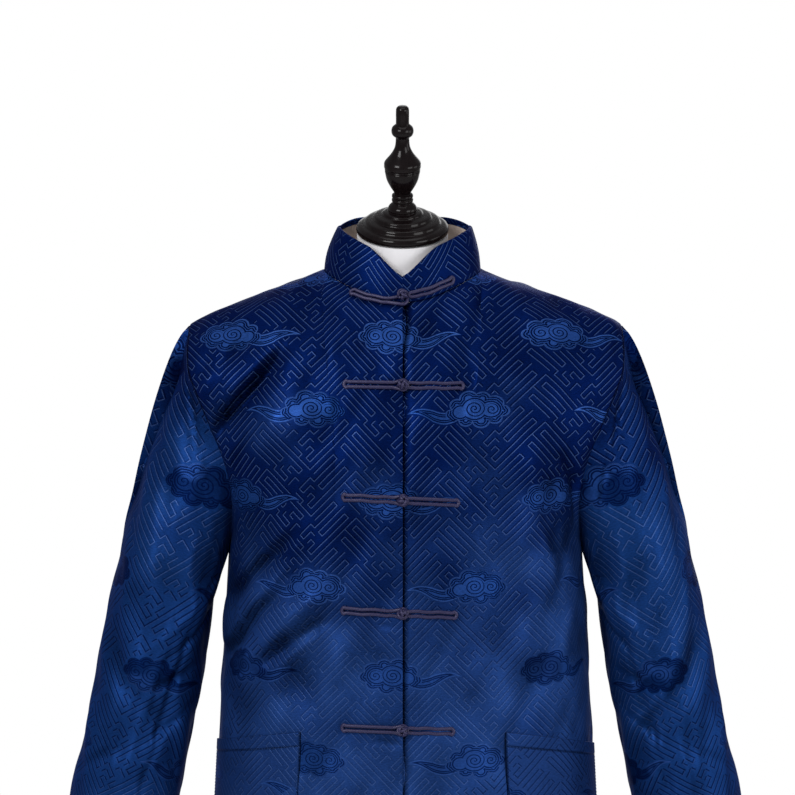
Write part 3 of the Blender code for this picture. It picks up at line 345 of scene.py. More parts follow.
# %% [markdown]
# ## Ripple
#
# Satin that hangs is never quite flat, even between its folds. A noise texture
# would make it lumpy, so seven long, low waves cross at odd angles. They are
# reckoned on the flat cloth, which keeps them the same size on every panel.

# %% Ripple
Wave = namedtuple("Wave", "across up start height")
WAVES = (
    Wave(across=0.083, up=0.310, start=0.4, height=0.00055),
    Wave(across=-0.061, up=0.170, start=1.9, height=0.00045),
    Wave(across=0.118, up=0.094, start=2.7, height=0.00050),
    Wave(across=-0.047, up=0.123, start=0.9, height=0.00028),
    Wave(across=0.034, up=0.071, start=3.8, height=0.00018),
    Wave(across=-0.029, up=0.052, start=5.1, height=0.00014),
    Wave(across=0.210, up=-0.066, start=4.4, height=0.00040),
)
RIPPLE_STRENGTH = 1.3


def ripple(u, v):
    """The low waves of the cloth at flat places in metres."""
    total = 0.0
    for wave in WAVES:
        total = total + wave.height * np.sin(2 * pi * (u / wave.across + v / wave.up) + wave.start)
    return total * RIPPLE_STRENGTH


# %% [markdown]
# ## Cloth meshes
#
# Each panel is a grid of points. A thin shell goes round the grid: the points,
# the same points one cloth thickness in, and a rim that joins them. The shell
# gets a UV map in metres of flat cloth, so that a woven figure has its real
# size on every panel. NumPy moves whole grids at once, which keeps this fast.

# %% Cloth meshes
CLOTH = 0.0010
# How strongly the slopes and the height of a crease paint its shading.
PAINTED_SHADING_ASIDE = 0.90
PAINTED_SHADING_UP = 1.15
PAINTED_SHADING_HEIGHT = 0.011


def unit(vectors):
    return vectors / np.maximum(np.linalg.norm(vectors, axis=-1, keepdims=True), 1e-12)


def grid_normals(grid, around=False):
    """Unit normals of a grid, from the differences of its neighbours."""
    up = np.gradient(grid, axis=0)
    if around:
        aside = np.roll(grid, -1, axis=1) - np.roll(grid, 1, axis=1)
    else:
        aside = np.gradient(grid, axis=1)
    return unit(np.cross(aside, up))


def lengths_along(grid, axis):
    """Distance travelled along each row or column of a grid."""
    steps = np.linalg.norm(np.diff(grid, axis=axis), axis=-1)
    start = np.zeros_like(np.take(steps, [0], axis=axis))
    return np.concatenate([start, np.cumsum(steps, axis=axis)], axis=axis)


def cell_corners(rows, columns, around=False):
    """The rows and the columns of the four corners of each cell of a grid."""
    i, j = np.meshgrid(np.arange(rows - 1), np.arange(columns - (not around)), indexing="ij")
    corner_rows = np.stack([i, i, i + 1, i + 1], -1).reshape(-1, 4)
    corner_columns = np.stack([j, j + 1, j + 1, j], -1).reshape(-1, 4)
    return corner_rows, corner_columns


def mesh_object(name, points, faces, uvs=None, smooth_angle=40):
    """An object from arrays, with its faces turned outward."""
    mesh = bpy.data.meshes.new(name)
    faces = faces if isinstance(faces, list) else faces.tolist()
    mesh.from_pydata(np.asarray(points).tolist(), [], faces)
    if uvs is not None:
        layer = mesh.uv_layers.new(name="cloth")
        layer.data.foreach_set("uv", np.asarray(uvs, np.float32).ravel())
    work = bmesh.new()
    work.from_mesh(mesh)
    bmesh.ops.recalc_face_normals(work, faces=work.faces)
    work.to_mesh(mesh)
    work.free()
    mesh.shade_smooth()
    mesh.set_sharp_from_angle(angle=radians(smooth_angle))
    made = bpy.data.objects.new(name, mesh)
    bpy.context.scene.collection.objects.link(made)
    return made


def eased(points):
    """Cloth beyond the neck on the wearer's left sits a little further out."""
    share = np.clip((points[..., 0] - EASE_START) / (EASE_END - EASE_START), 0, 1)
    moved = points.copy()
    moved[..., 0] += LEFT_EASE * share * share * (3 - 2 * share)
    return moved


def fold_painted_shading(height, aside, up):
    """Painted shading of creased satin: less light in a trough and on a side away from light."""
    slope_aside = np.gradient(height, axis=1) / np.gradient(aside, axis=1)
    slope_up = np.gradient(height, axis=0) / np.gradient(up, axis=0)
    raw = PAINTED_SHADING_ASIDE * slope_aside - PAINTED_SHADING_UP * slope_up + height / PAINTED_SHADING_HEIGHT
    return raw / np.sqrt(1 + raw ** 2)


def shell(name, outer, normals, uv, thickness=CLOTH, around=False, tone=None):
    """A closed thin shell: outer points, the same points further in, and a rim."""
    rows, columns = outer.shape[:2]
    inner = outer - normals * thickness
    points = np.concatenate([eased(outer).reshape(-1, 3), eased(inner).reshape(-1, 3)])
    offset = rows * columns
    i, j = cell_corners(rows, columns, around)
    outside = i * columns + j % columns
    faces = [outside, outside[:, ::-1] + offset]
    places = [(i, j), (i[:, ::-1], j[:, ::-1])]
    last = columns if around else columns - 1
    k = np.arange(last)
    for row in (0, rows - 1):
        edge_i = np.full((last, 4), row)
        edge_j = np.stack([k, k + 1, k + 1, k], -1)
        shift = np.array([0, 0, offset, offset])
        faces.append(edge_i * columns + edge_j % columns + shift)
        places.append((edge_i, edge_j))
    if not around:
        k = np.arange(rows - 1)
        for column in (0, columns - 1):
            edge_i = np.stack([k, k + 1, k + 1, k], -1)
            edge_j = np.full((rows - 1, 4), column)
            faces.append(edge_i * columns + edge_j + np.array([0, 0, offset, offset]))
            places.append((edge_i, edge_j))
    uvs = np.concatenate([uv[a, b].reshape(-1, 2) for a, b in places])
    made = mesh_object(name, points, np.concatenate(faces), uvs)
    # The painted shading rides on each point as an attribute that the satin reads.
    if tone is not None:
        values = made.data.attributes.new("tone", "FLOAT", "POINT")
        values.data.foreach_set("value", np.tile(tone.ravel(), 2).astype(np.float32))
    print(name, "faces:", len(made.data.polygons))
    return made


def rolled(distance, radius):
    """How far a turned-in edge dips, at a distance from the edge."""
    near = np.clip(1 - distance / radius, 0, 1)
    return radius * (1 - np.sqrt(1 - near ** 2))


# %% [markdown]
# ## Flat cloth
#
# A panel was cut from flat cloth, so the weave must not stretch where the panel
# is curved. Lengths along the grid give a rough flat layout, but they drift apart
# on a curve. Blender's conformal unwrap lays the grid out evenly, and then it is
# turned and scaled to lie where the rough layout does.

# %% Flat cloth


def flattened(points, guide):
    """Where the points of a grid lie on the flat cloth, in metres.

    Blender unwraps the grid, and the result is turned to lie like the guide.
    """
    rows, columns = points.shape[:2]
    i, j = cell_corners(rows, columns)
    draft = mesh_object("draft", points.reshape(-1, 3), i * columns + j, np.zeros(i.size * 2))
    bpy.context.view_layer.objects.active = draft
    draft.select_set(True)
    bpy.ops.object.mode_set(mode="EDIT")
    bpy.ops.mesh.select_all(action="SELECT")
    bpy.ops.uv.unwrap(method="CONFORMAL", margin=0.0)
    bpy.ops.object.mode_set(mode="OBJECT")
    mesh = draft.data
    corner = np.empty(len(mesh.loops), int)
    mesh.loops.foreach_get("vertex_index", corner)
    found = np.empty(2 * len(corner), np.float32)
    mesh.uv_layers["cloth"].data.foreach_get("uv", found)
    flat = np.empty(rows * columns, complex)
    flat[corner] = found[0::2] + 1j * found[1::2]
    bpy.data.objects.remove(draft)
    wanted = (guide[..., 0] + 1j * guide[..., 1]).ravel()
    fits = []
    for candidate in (flat, flat.conj()):
        centred = candidate - candidate.mean()
        turn = np.vdot(centred, wanted - wanted.mean())
        placed = centred * turn / abs(turn)
        fits.append((abs(turn), placed))
    placed = max(fits, key=lambda fit: fit[0])[1].reshape(rows, columns)
    real = np.linalg.norm(points[1:] - points[:-1], axis=-1).sum()
    placed = placed * (real / np.abs(placed[1:] - placed[:-1]).sum())
    placed = placed - placed[0, 0] + complex(*guide[0, 0])
    return np.stack([placed.real, placed.imag], -1)


# %% [markdown]
# ## Fronts and back
#
# The fronts meet at the opening, where the wearer's right front lies a little
# over the left one. Every seam is two turned-in edges that meet in a groove, so
# each panel dips over its last two millimetres. Extra columns and rows stand
# close to the edges to draw that.

# %% Panel grids
SEAM_ROLL = 0.0021
# SEAM_SHADE: how far from a seam the painted shade reaches.
SEAM_SHADE = 0.0026
SEAM_FADE = 0.012
NECK_COLUMNS = 36
OUTER_COLUMNS = 50
LOWER_ROWS = 140
UPPER_ROWS = 84
ARCH_ROW_POWER = 1.3
EDGE_STEPS = np.array([0.0002, 0.0006, 0.0011, 0.0017])
PANEL_WIDTH = 0.25
ARCH_LENGTH = 0.33
LAP_REACH = 0.0100
LAP_RISE = 0.0008
LAP_DIP = 0.0026
LAP_GAP = 0.0009
LAP_ROLL = 0.0013
TOP_GAP_Z = 1.392
TOP_GAP_REACH = 0.036
TOP_GAP_MORE = 0.0026
TOP_DIP_MORE = 0.5
# LAP_SHADE and LAP_SHADE_TOP: how far the painted shade beside the opening reaches.
LAP_SHADE = 0.0034
LAP_SHADE_TOP = 0.0085

neck_steps = np.sin(pi / 2 * np.arange(NECK_COLUMNS + 1) / NECK_COLUMNS) * NECK_ACROSS
outer_steps = NECK_ACROSS + (1 - NECK_ACROSS) * np.arange(1, OUTER_COLUMNS + 1) / OUTER_COLUMNS
edge_share = EDGE_STEPS / PANEL_WIDTH
ACROSS = np.concatenate([neck_steps, outer_steps[:-1], 1 - edge_share[::-1], [1.0]])
height_steps = HEM_Z + (ARMPIT_Z - HEM_Z) * np.arange(LOWER_ROWS) / LOWER_ROWS
HEIGHTS = np.concatenate([[HEM_Z], HEM_Z + EDGE_STEPS, height_steps[1:]])
arch_shares = (np.arange(UPPER_ROWS + 1) / UPPER_ROWS) ** ARCH_ROW_POWER
arch_shares = np.concatenate([arch_shares[:-1], 1 - (EDGE_STEPS / ARCH_LENGTH)[::-1], [1.0]])


def plain_grid(face, side, across=ACROSS):
    """Points of half of the front or back before any crease, rows by columns."""
    lower = lower_point(across * side * pi / 2, HEIGHTS[:, None], face)
    tops = arch_at_neckline(across * side, face)
    upper = upper_point(across * side, arch_shares[:, None] * tops, face)
    return np.concatenate([lower, upper])


def panel(face, side):
    """The creased points, outward normals and flat-cloth UVs of half of a face."""
    plain = plain_grid(face, side)
    normals = grid_normals(plain)
    if normals[len(HEIGHTS) // 2, len(ACROSS) // 3, 1] * face < 0:
        normals = -normals
    normals[:len(HEIGHTS), -1] = (side, 0.0, 0.0)
    normals[:, 0, 0] = 0.0
    normals[-1, NECK_COLUMNS:, 1] = 0.0
    normals = unit(normals)
    uv = np.stack([lengths_along(plain, 1) * side, lengths_along(plain, 0)], -1)
    from_side = uv[:, -1:, 0] * side - uv[..., 0] * side
    from_top = uv[-1:, :, 1] - uv[..., 1]
    from_edge = np.minimum(from_side, from_top)
    fade = np.clip(from_edge / SEAM_FADE, 0, 1)
    height = crease_height(plain[..., 0], plain[..., 2], face) + ripple(uv[..., 0], uv[..., 1])
    height = height * fade * fade * (3 - 2 * fade)
    # Painted shading of the creases, and painted shade towards every seam.
    tone = fold_painted_shading(height, uv[..., 0], uv[..., 1])
    tone = np.minimum(tone, from_edge / SEAM_SHADE - 1)
    height = height - rolled(from_edge, SEAM_ROLL) - rolled(uv[..., 1], SEAM_ROLL)
    return plain + normals * height[..., None], normals, uv, tone


def top_gap(points):
    """How much of the gap between the two frogs nearest the collar a place has."""
    return bump((points[..., 2] - TOP_GAP_Z) / TOP_GAP_REACH)


def lap(side, points, normals):
    """Lift one front's edge at the opening and let the other one dip beside it."""
    from_edge = np.abs(points[..., 0])
    share = np.clip(1 - from_edge / LAP_REACH, 0, 1)
    near = bump(1 - share)
    top = top_gap(points)
    lift = LAP_RISE if side < 0 else -LAP_DIP * (1 + TOP_DIP_MORE * top)
    gap = 0.0 if side < 0 else LAP_GAP + TOP_GAP_MORE * top
    height = lift * near - rolled(from_edge, LAP_ROLL)
    moved = points + normals * height[..., None]
    moved[..., 0] += side * gap * share
    return moved


def front(name, side):
    """One front, and its grid, normals and guide before the edge is lapped."""
    points, normals, guide, tone = panel(-1, side)
    flat = flattened(plain_grid(-1, side), guide)
    flat[..., 0] -= flat[:, :1, 0]
    if side > 0:
        # Painted shade: a dark band beside the opening on the left front, wider between the top
        # frogs.
        reach = LAP_SHADE + LAP_SHADE_TOP * top_gap(points)
        tone = np.minimum(tone, np.abs(points[..., 0]) / reach - 1)
    made = shell(name, lap(side, points, normals), normals, flat, tone=tone)
    return made, (points, normals, guide)


front_right, front_right_grid = front("cloth_front_right", -1)
front_left, front_left_grid = front("cloth_front_left", 1)

# %% Back
back_halves = {side: panel(1, side) for side in (-1, 1)}
back_parts = [
    np.concatenate([back_halves[-1][k][:, :0:-1], back_halves[1][k]], axis=1) for k in range(4)
]
back_plain = np.concatenate([plain_grid(1, -1)[:, :0:-1], plain_grid(1, 1)], axis=1)
back_flat = flattened(back_plain, back_parts[2])
back = shell("cloth_back", *back_parts[:2], back_flat, tone=back_parts[3])

# %% [markdown]
# ## Sleeves
#
# A set-in sleeve starts at the armhole seam and turns into a plain tube by the
# bicep. Its first ring repeats the edge of the front and the back, and a cubic
# curve carries each point from there to its place on the tube. Creases gather
# at the armpit and at the bend of the elbow.

# %% Sleeve tables
SLEEVE_LEAN = radians(11.4)
BICEP_CENTRE = Vector((0.2445, -0.002, 1.128))
CUFF_CENTRE_Z = 0.795
CUFF_CENTRE_Y = -0.018
SLEEVE_BEND_POWER = 1.5
HEAD_RINGS = 34
TUBE_RINGS = 96
HEAD_LENGTH = 0.15
TUBE_LENGTH = 0.34
BICEP_RADIUS = 0.06
START_PULL = 0.34
START_PULL_OUTSIDE = 0.06
END_PULL = 0.75
END_PULL_OUTSIDE = 0.35
HEAD_ROLL = 0.9
HEAD_ROLL_REACH = 0.006
INWARD_COLUMN = -5
PROBE_RING = -20
SleeveSection = namedtuple("SleeveSection", "run across deep")
SLEEVE_SECTIONS = (
    SleeveSection(run=0.00, across=0.0555, deep=0.0680),
    SleeveSection(run=0.35, across=0.0560, deep=0.0620),
    SleeveSection(run=0.70, across=0.0565, deep=0.0540),
    SleeveSection(run=1.00, across=0.0570, deep=0.0490),
)
SleeveCrease = namedtuple("SleeveCrease", "turn along slope half_width height reach")
SLEEVE_CREASES = named_rows(
    SleeveCrease,
    (40, 0.08, 0.16, 0.10, 0.0035, 1.2),
    (110, 0.36, -0.12, 0.09, -0.0030, 1.2),
    (80, 0.58, 0.14, 0.10, 0.0030, 1.2),
    (250, 0.42, 0.12, 0.10, -0.0035, 1.2),
    (290, 0.68, -0.14, 0.10, 0.0035, 1.2),
    (0, 0.00, 0.00, 0.300, -0.0046, 1.0),
    (30, 0.02, 0.24, 0.030, -0.0022, 0.9),
    (50, 0.10, 0.20, 0.034, 0.0018, 1.0),
    (38, 0.17, 0.16, 0.030, -0.0022, 0.9),
    (330, 0.05, -0.22, 0.032, -0.0020, 0.9),
    (318, 0.14, -0.18, 0.036, 0.0016, 1.0),
    (60, 0.33, 0.10, 0.030, -0.0018, 0.8),
    (72, 0.41, -0.12, 0.032, 0.0015, 0.9),
    (55, 0.47, 0.14, 0.028, -0.0018, 0.8),
    (300, 0.38, -0.12, 0.034, -0.0018, 0.9),
    (285, 0.50, 0.10, 0.030, 0.0015, 0.9),
    (130, 0.62, 0.10, 0.036, -0.0012, 0.8),
    (230, 0.74, -0.10, 0.036, -0.0012, 0.8),
    (75, 0.80, -0.08, 0.034, -0.0012, 0.8),
    (62, 0.42, 1.30, 0.17, -0.0020, 0.42),
    (84, 0.40, 1.30, 0.20, 0.0018, 0.42),
    (100, 0.66, -1.10, 0.18, -0.0012, 0.36),
)
HEAD_CREASES = named_rows(
    SleeveCrease,
    (134, 0.020, -0.030, 0.0060, -0.0014, 0.42),
    (122, 0.034, -0.034, 0.0070, 0.0012, 0.46),
    (112, 0.030, -0.036, 0.0060, -0.0022, 0.44),
    (98, 0.036, -0.030, 0.0070, 0.0018, 0.40),
    (84, 0.040, -0.026, 0.0065, -0.0024, 0.38),
    (60, 0.046, 0.030, 0.0080, -0.0012, 0.36),
    (40, 0.052, 0.034, 0.0080, 0.0012, 0.36),
    (26, 0.038, 0.034, 0.0070, -0.0014, 0.34),
)

# %% Sleeves


def sleeve_fold(creases, along, turn):
    """How far a table of creases moves a sleeve's cloth in or out."""
    fold = np.zeros(np.broadcast(along, turn).shape)
    for crease in creases:
        away = (turn - radians(crease.turn) + pi) % (2 * pi) - pi
        middle = crease.along + crease.slope * away
        across = bump((along - middle) / crease.half_width)
        fold = fold + crease.height * across * bump(away / crease.reach)
    return fold


def sleeve_tube(runs, turns, side):
    """Rings of the sleeve below the armhole, on the wearer's left."""
    run = runs[:, None]
    turn = turns[None, :]
    fold = sleeve_fold(SLEEVE_CREASES, run, turn)
    across = read(SLEEVE_SECTIONS, "run", "across", run) + fold
    deep = read(SLEEVE_SECTIONS, "run", "deep", run) + fold
    drop = (BICEP_CENTRE.z - CUFF_CENTRE_Z) * run
    x = BICEP_CENTRE.x + drop * tan(SLEEVE_LEAN) - across * cos(SLEEVE_LEAN) * np.cos(turn)
    y = BICEP_CENTRE.y + (CUFF_CENTRE_Y - BICEP_CENTRE.y) * run ** SLEEVE_BEND_POWER
    y = y - deep * np.sin(turn)
    z = BICEP_CENTRE.z - drop - across * sin(SLEEVE_LEAN) * np.cos(turn)
    return np.stack(np.broadcast_arrays(x * side, y, z), -1)


def armhole_ring(front_grid, back_grid):
    """The armhole's edge, from the armpit up the front and down the back."""
    start = len(HEIGHTS)
    rings = []
    for grid, normals, _ in (front_grid, back_grid):
        edge = grid[start:, -1]
        inward = unit(edge - grid[start:, INWARD_COLUMN])
        rings.append((edge, normals[start:, -1], inward))
    joined = [np.concatenate([up[:-1], down[:0:-1]]) for up, down in zip(*rings)]
    joined[2][0] = (0.0, 0.0, 1.0)
    return joined


def sleeve(name, side, front_grid, back_grid):
    """A sleeve from the armhole, whose cloth it continues, to the cuff."""
    edge, thickness, aim = armhole_ring(front_grid, back_grid)
    count = len(edge)
    steps = np.linalg.norm(np.roll(edge, -1, axis=0) - edge, axis=1)
    turns = 2 * pi * np.concatenate([[0], np.cumsum(steps)[:-1]]) / steps.sum()
    bicep = sleeve_tube(np.zeros(1), turns, side)[0]
    down = np.array([side * sin(SLEEVE_LEAN), 0.0, -cos(SLEEVE_LEAN)])
    length = np.linalg.norm(bicep - edge, axis=1)[:, None]
    outside = (0.5 - 0.5 * np.cos(turns))[:, None]
    start_pull = aim * length * (START_PULL + START_PULL_OUTSIDE * outside)
    end_pull = down * length * (END_PULL + END_PULL_OUTSIDE * outside)
    t = np.concatenate([[0.0], EDGE_STEPS / HEAD_LENGTH, np.arange(1, HEAD_RINGS) / HEAD_RINGS])
    head = hermite(edge, bicep, start_pull, end_pull, t[:, None, None])
    runs = np.arange(TUBE_RINGS + 1) / TUBE_RINGS
    cuff_steps = 1 - EDGE_STEPS[::-1] / TUBE_LENGTH
    runs = np.concatenate([runs[:-1], cuff_steps, [1.0]])
    grid = np.concatenate([head, sleeve_tube(runs, turns, side)])
    normals = grid_normals(grid, around=True)
    if normals[PROBE_RING, count // 2, 0] * side < 0:
        normals = -normals
    normals[0] = thickness
    along = lengths_along(grid, 0)
    waves = ripple(turns * BICEP_RADIUS, along)
    waves = waves + sleeve_fold(HEAD_CREASES, along, turns[None, :])
    waves = waves * bump(1 - np.clip(along / SEAM_FADE, 0, 1))
    grid = grid + normals * waves[..., None]
    roll = rolled(along[-1:] - along, SEAM_ROLL)
    ease = 1 - np.clip(along / HEAD_ROLL_REACH, 0, 1)
    head_roll = (rolled(along, SEAM_ROLL) - rolled(0.0, SEAM_ROLL)) * HEAD_ROLL * ease
    grid = grid - normals * (roll + head_roll)[..., None]
    ring = lengths_along(np.concatenate([grid, grid[:, :1]], axis=1), 1)
    girth = np.median(ring[:, -1])
    u = np.broadcast_to(np.append(turns, 2 * pi) / (2 * pi) * girth, ring.shape)
    v = -np.concatenate([along, along[:, :1]], axis=1)
    flat = flattened(np.concatenate([grid, grid[:, :1]], axis=1), np.stack([u, v], -1))
    height = waves.copy()
    height[len(head):] += sleeve_fold(SLEEVE_CREASES, runs[:, None], turns[None, :])
    # Painted shading of the sleeve's creases, and painted shade towards both its seams.
    tone = fold_painted_shading(height, np.broadcast_to(side * turns * girth / (2 * pi), height.shape), -along)
    tone = np.minimum(tone, np.minimum(along, along[-1:] - along) / SEAM_SHADE - 1)
    return shell(name, grid, normals, flat, around=True, tone=tone)


sleeve_right = sleeve("cloth_sleeve_right", -1, front_right_grid, back_halves[-1][:3])
sleeve_left = sleeve("cloth_sleeve_left", 1, front_left_grid, back_halves[1][:3])

# %% [markdown]
# ## Places on the fronts
#
# Pockets, frogs and stitches lie on the front. They ask the front's formula
# where its cloth is at a place seen from the front, and which way it faces
# there, so they follow it wherever it curves.

# %% Places on the fronts
NORMAL_STEP = 0.003


def plain_place(x, z):
    """The front's surface, without creases, at places seen from the front."""
    x, z = np.broadcast_arrays(np.asarray(x, float), np.asarray(z, float))
    low_z = np.minimum(z, ARMPIT_Z)
    half_width = read(BODY_SECTIONS, "height", "half_width", low_z)
    turn = np.arcsin(np.minimum((np.abs(x) / half_width) ** (SECTION_POWER / 2), 1.0))
    low = lower_point(turn, low_z, -1)
    rise = np.clip((z - ARMPIT_Z) / (ridge_height(x) - ARMPIT_Z), 0.0, 1.0)
    arch = np.arcsin(rise ** (ARCH_POWER[-1] / 2))
    high = upper_point(across_at(np.abs(x), arch), arch, -1)
    y = np.where(z <= ARMPIT_Z, low[..., 1], high[..., 1])
    return np.stack([x, y, z], -1)


def front_normal(x, z):
    """Which way the front faces, from places a little way off on all sides."""
    across = plain_place(x + NORMAL_STEP, z) - plain_place(x - NORMAL_STEP, z)
    up = plain_place(x, z + NORMAL_STEP) - plain_place(x, z - NORMAL_STEP)
    return unit(np.cross(across, up))


def front_place(x, z, lift):
    """A place a little above the creased cloth of the front, and its normal."""
    normal = front_normal(x, z)
    crease = crease_height(np.asarray(x), np.asarray(z), -1)
    return plain_place(x, z) + normal * (crease + lift)[..., None], normal


# %% [markdown]
# ## Patch pockets
#
# A patch pocket is one more layer of the same cloth. Its sides and bottom are
# turned in and sewn down, so they dip to the front. Its mouth is a hem of two
# layers: a little thicker, open at the top, and drawn in by a line of stitches.

# %% Pockets
POCKET_BOTTOM_Z = 0.805
POCKET_TOP_Z = 0.970
POCKET_SLANTS = {-1: 0.0245, 1: 0.0290}
POCKET_INNER_ACROSS = 0.317
POCKET_OUTER_ACROSS = 0.935
POCKET_LIFT = 0.0019
POCKET_ROLL = 0.0014
POCKET_MOUTH_ROLL = 0.0009
POCKET_HEM = 0.0145
HEM_EXTRA = 0.0004
HEM_STEP = 0.0015
STITCH_DIP = 0.0005
STITCH_DIP_WIDTH = 0.0009
# A painted shade lies along the hem's stitches.
STITCH_SHADE = 0.8
STITCH_SHADE_WIDTH = 0.0012
STITCH_PLACES = np.array([-1.0, -0.6, -0.3, 0.0, 0.3, 0.6, 1.0])
STITCH_REACH = 0.0024
POCKET_GAPE = 0.0011
POCKET_GAPE_DEPTH = 0.030
POCKET_STEP = 0.002
POCKET_ROWS = 76
POCKET_COLUMNS = 60
POCKET_WIDTH = 0.145
POCKET_HEIGHT = POCKET_TOP_Z - POCKET_BOTTOM_Z


def pocket_place(side, reach, share, lift):
    """A place on a pocket: reach is 0 at its inner edge, share is 0 at its bottom."""
    reach, share = np.broadcast_arrays(reach, share)
    across = POCKET_INNER_ACROSS + (POCKET_OUTER_ACROSS - POCKET_INNER_ACROSS) * reach
    height = POCKET_BOTTOM_Z + POCKET_HEIGHT * share - POCKET_SLANTS[side] * share * reach
    plain = lower_point(across * side * pi / 2, height, -1)
    aside = lower_point((across + POCKET_STEP) * side * pi / 2, height, -1) - plain
    up = lower_point(across * side * pi / 2, height + POCKET_STEP, -1) - plain
    normal = unit(np.cross(aside, up)) * side
    crease = crease_height(plain[..., 0], plain[..., 2], -1)
    return plain + normal * (crease + lift)[..., None], normal


def hem_shape(from_top, width):
    """1 along the line of stitches that holds the hem, and 0 away from it."""
    return np.exp(-(((from_top - POCKET_HEM) / width) ** 2))


def pocket(name, side, weave_offset):
    """A pocket with extra rows at its edges and where the stitches draw it in."""
    edge_w = EDGE_STEPS / POCKET_WIDTH
    edge_h = EDGE_STEPS / POCKET_HEIGHT
    hem_line = 1 - POCKET_HEM / POCKET_HEIGHT
    hem_rows = hem_line + STITCH_REACH / POCKET_HEIGHT * STITCH_PLACES
    columns = [np.linspace(0, 1, POCKET_COLUMNS), edge_w, 1 - edge_w]
    rows = [np.linspace(0, 1, POCKET_ROWS), edge_h, 1 - edge_h, hem_rows]
    reach = np.unique(np.concatenate(columns))[None, :]
    share = np.unique(np.concatenate(rows))[:, None]
    from_side = np.minimum(reach, 1 - reach) * POCKET_WIDTH
    from_bottom = share * POCKET_HEIGHT
    from_top = (1 - share) * POCKET_HEIGHT
    dip = rolled(np.minimum(from_side, from_bottom), POCKET_ROLL)
    dip = np.maximum(dip, rolled(from_top, POCKET_MOUTH_ROLL) + 0 * reach)
    hem = np.clip((POCKET_HEM - from_top) / HEM_STEP, 0, 1) * HEM_EXTRA
    stitch = STITCH_DIP * hem_shape(from_top, STITCH_DIP_WIDTH)
    gape = POCKET_GAPE * np.sin(pi * reach) * np.clip(1 - from_top / POCKET_GAPE_DEPTH, 0, 1) ** 2
    points, normals = pocket_place(side, reach, share, POCKET_LIFT - dip + hem - stitch + gape)
    uv = np.stack([lengths_along(points, 1) * side, lengths_along(points, 0)], -1)
    # Painted shade at the pocket's turned-in sides and bottom, and along the stitches of its hem.
    tone = np.minimum(from_side / SEAM_SHADE, from_bottom / SEAM_SHADE) - 1
    tone = np.minimum(tone, -STITCH_SHADE * hem_shape(from_top, STITCH_SHADE_WIDTH))
    return shell(name, points, normals, uv + np.array(weave_offset), tone=tone)


pocket_right = pocket("cloth_pocket_right", -1, (-0.118, 0.112))
pocket_left = pocket("cloth_pocket_left", 1, (0.083, 0.129))

# %% [markdown]
# ## Underlap
#
# Behind the opening lies a strip sewn to one front, which closes the slit
# between the frogs. Only a sliver of it shows, so it needs no creases: it is the
# line of the opening, moved in a little and widened to both sides.

# %% Underlap
UNDERLAP_HALF_WIDTH = 0.018
UNDERLAP_DEPTH = 0.0050
UNDERLAP_COLUMNS = 9


def underlap():
    """A strip that follows the opening from behind."""
    column = plain_grid(-1, 1, np.array([0.0]))[:, 0]
    along = np.gradient(column, axis=0)
    out = unit(np.stack([np.zeros(len(along)), -along[:, 2], along[:, 1]], -1))
    x = np.linspace(-UNDERLAP_HALF_WIDTH, UNDERLAP_HALF_WIDTH, UNDERLAP_COLUMNS)
    points = (column - out * UNDERLAP_DEPTH)[:, None, :] + x[None, :, None] * np.array([1.0, 0, 0])
    normals = np.broadcast_to(out[:, None, :], points.shape)
    v = np.broadcast_to(lengths_along(column[:, None, :], 0), points.shape[:2])
    return shell("cloth_underlap", points, normals, np.stack([np.broadcast_to(x, v.shape), v], -1))


underlap_strip = underlap()

# %% [markdown]
# ## Stand collar
#
# The collar's outer cloth rises from the neck seam, rolls over the top edge and
# ends a few millimetres down inside, where it covers the edge of the beige
# lining. One profile, swept round the neckline, makes each of the two layers.

# %% Collar
COLLAR_CORNER = 0.036
COLLAR_NOTCH_HEIGHT = 0.025
COLLAR_FRONT_HEIGHT = 0.049
COLLAR_SIDE_HEIGHT = 0.045
COLLAR_BACK_HEIGHT = 0.054
COLLAR_LEAN = {"right": 0.015, "left": 0.010, "front": 0.006, "back": 0.010}
COLLAR_LEAN_POWER = 1.6
COLLAR_CORNER_POWER = 1.7
COLLAR_EDGE_RADIUS = 0.0016
COLLAR_FACING = 0.0070
COLLAR_FACING_START = 0.0030
COLLAR_SEAM_DROP = 0.0012
COLLAR_SEAM_ROLL = 0.0014
COLLAR_SEAM_STEPS = (0.0, 0.0003, 0.0008, 0.0014)
COLLAR_CLOTH = 0.0008
LINING_ROWS = 16
LINING_FOOT = 0.0008
LINING_SHORTER = 0.0058
LINING_DEPTH = 0.0019
LINING_CLOTH = 0.0011
COLLAR_WEAVE = (0.073, 0.330)


def neck_ring():
    """The neck seam from the opening round by the wearer's right, and its angles."""
    edges = {(f, s): plain_grid(f, s)[-1][:NECK_COLUMNS + 1] for f in (-1, 1) for s in (-1, 1)}
    points = np.concatenate([
        edges[-1, -1],
        edges[1, -1][-2::-1],
        edges[1, 1][1:],
        edges[-1, 1][-2::-1],
    ])
    turns = np.linspace(0, 2 * pi, len(points))
    return points, np.where(turns <= pi, -turns, 2 * pi - turns)


RING, RING_TURNS = neck_ring()


def seam_place(turn):
    """The neck seam at angles from the centre front, to the wearer's left."""
    at = np.where(turn <= 0, -turn, 2 * pi - turn)
    keys = np.linspace(0, 2 * pi, len(RING))
    return np.stack([np.interp(at, keys, RING[:, k]) for k in range(3)], -1)


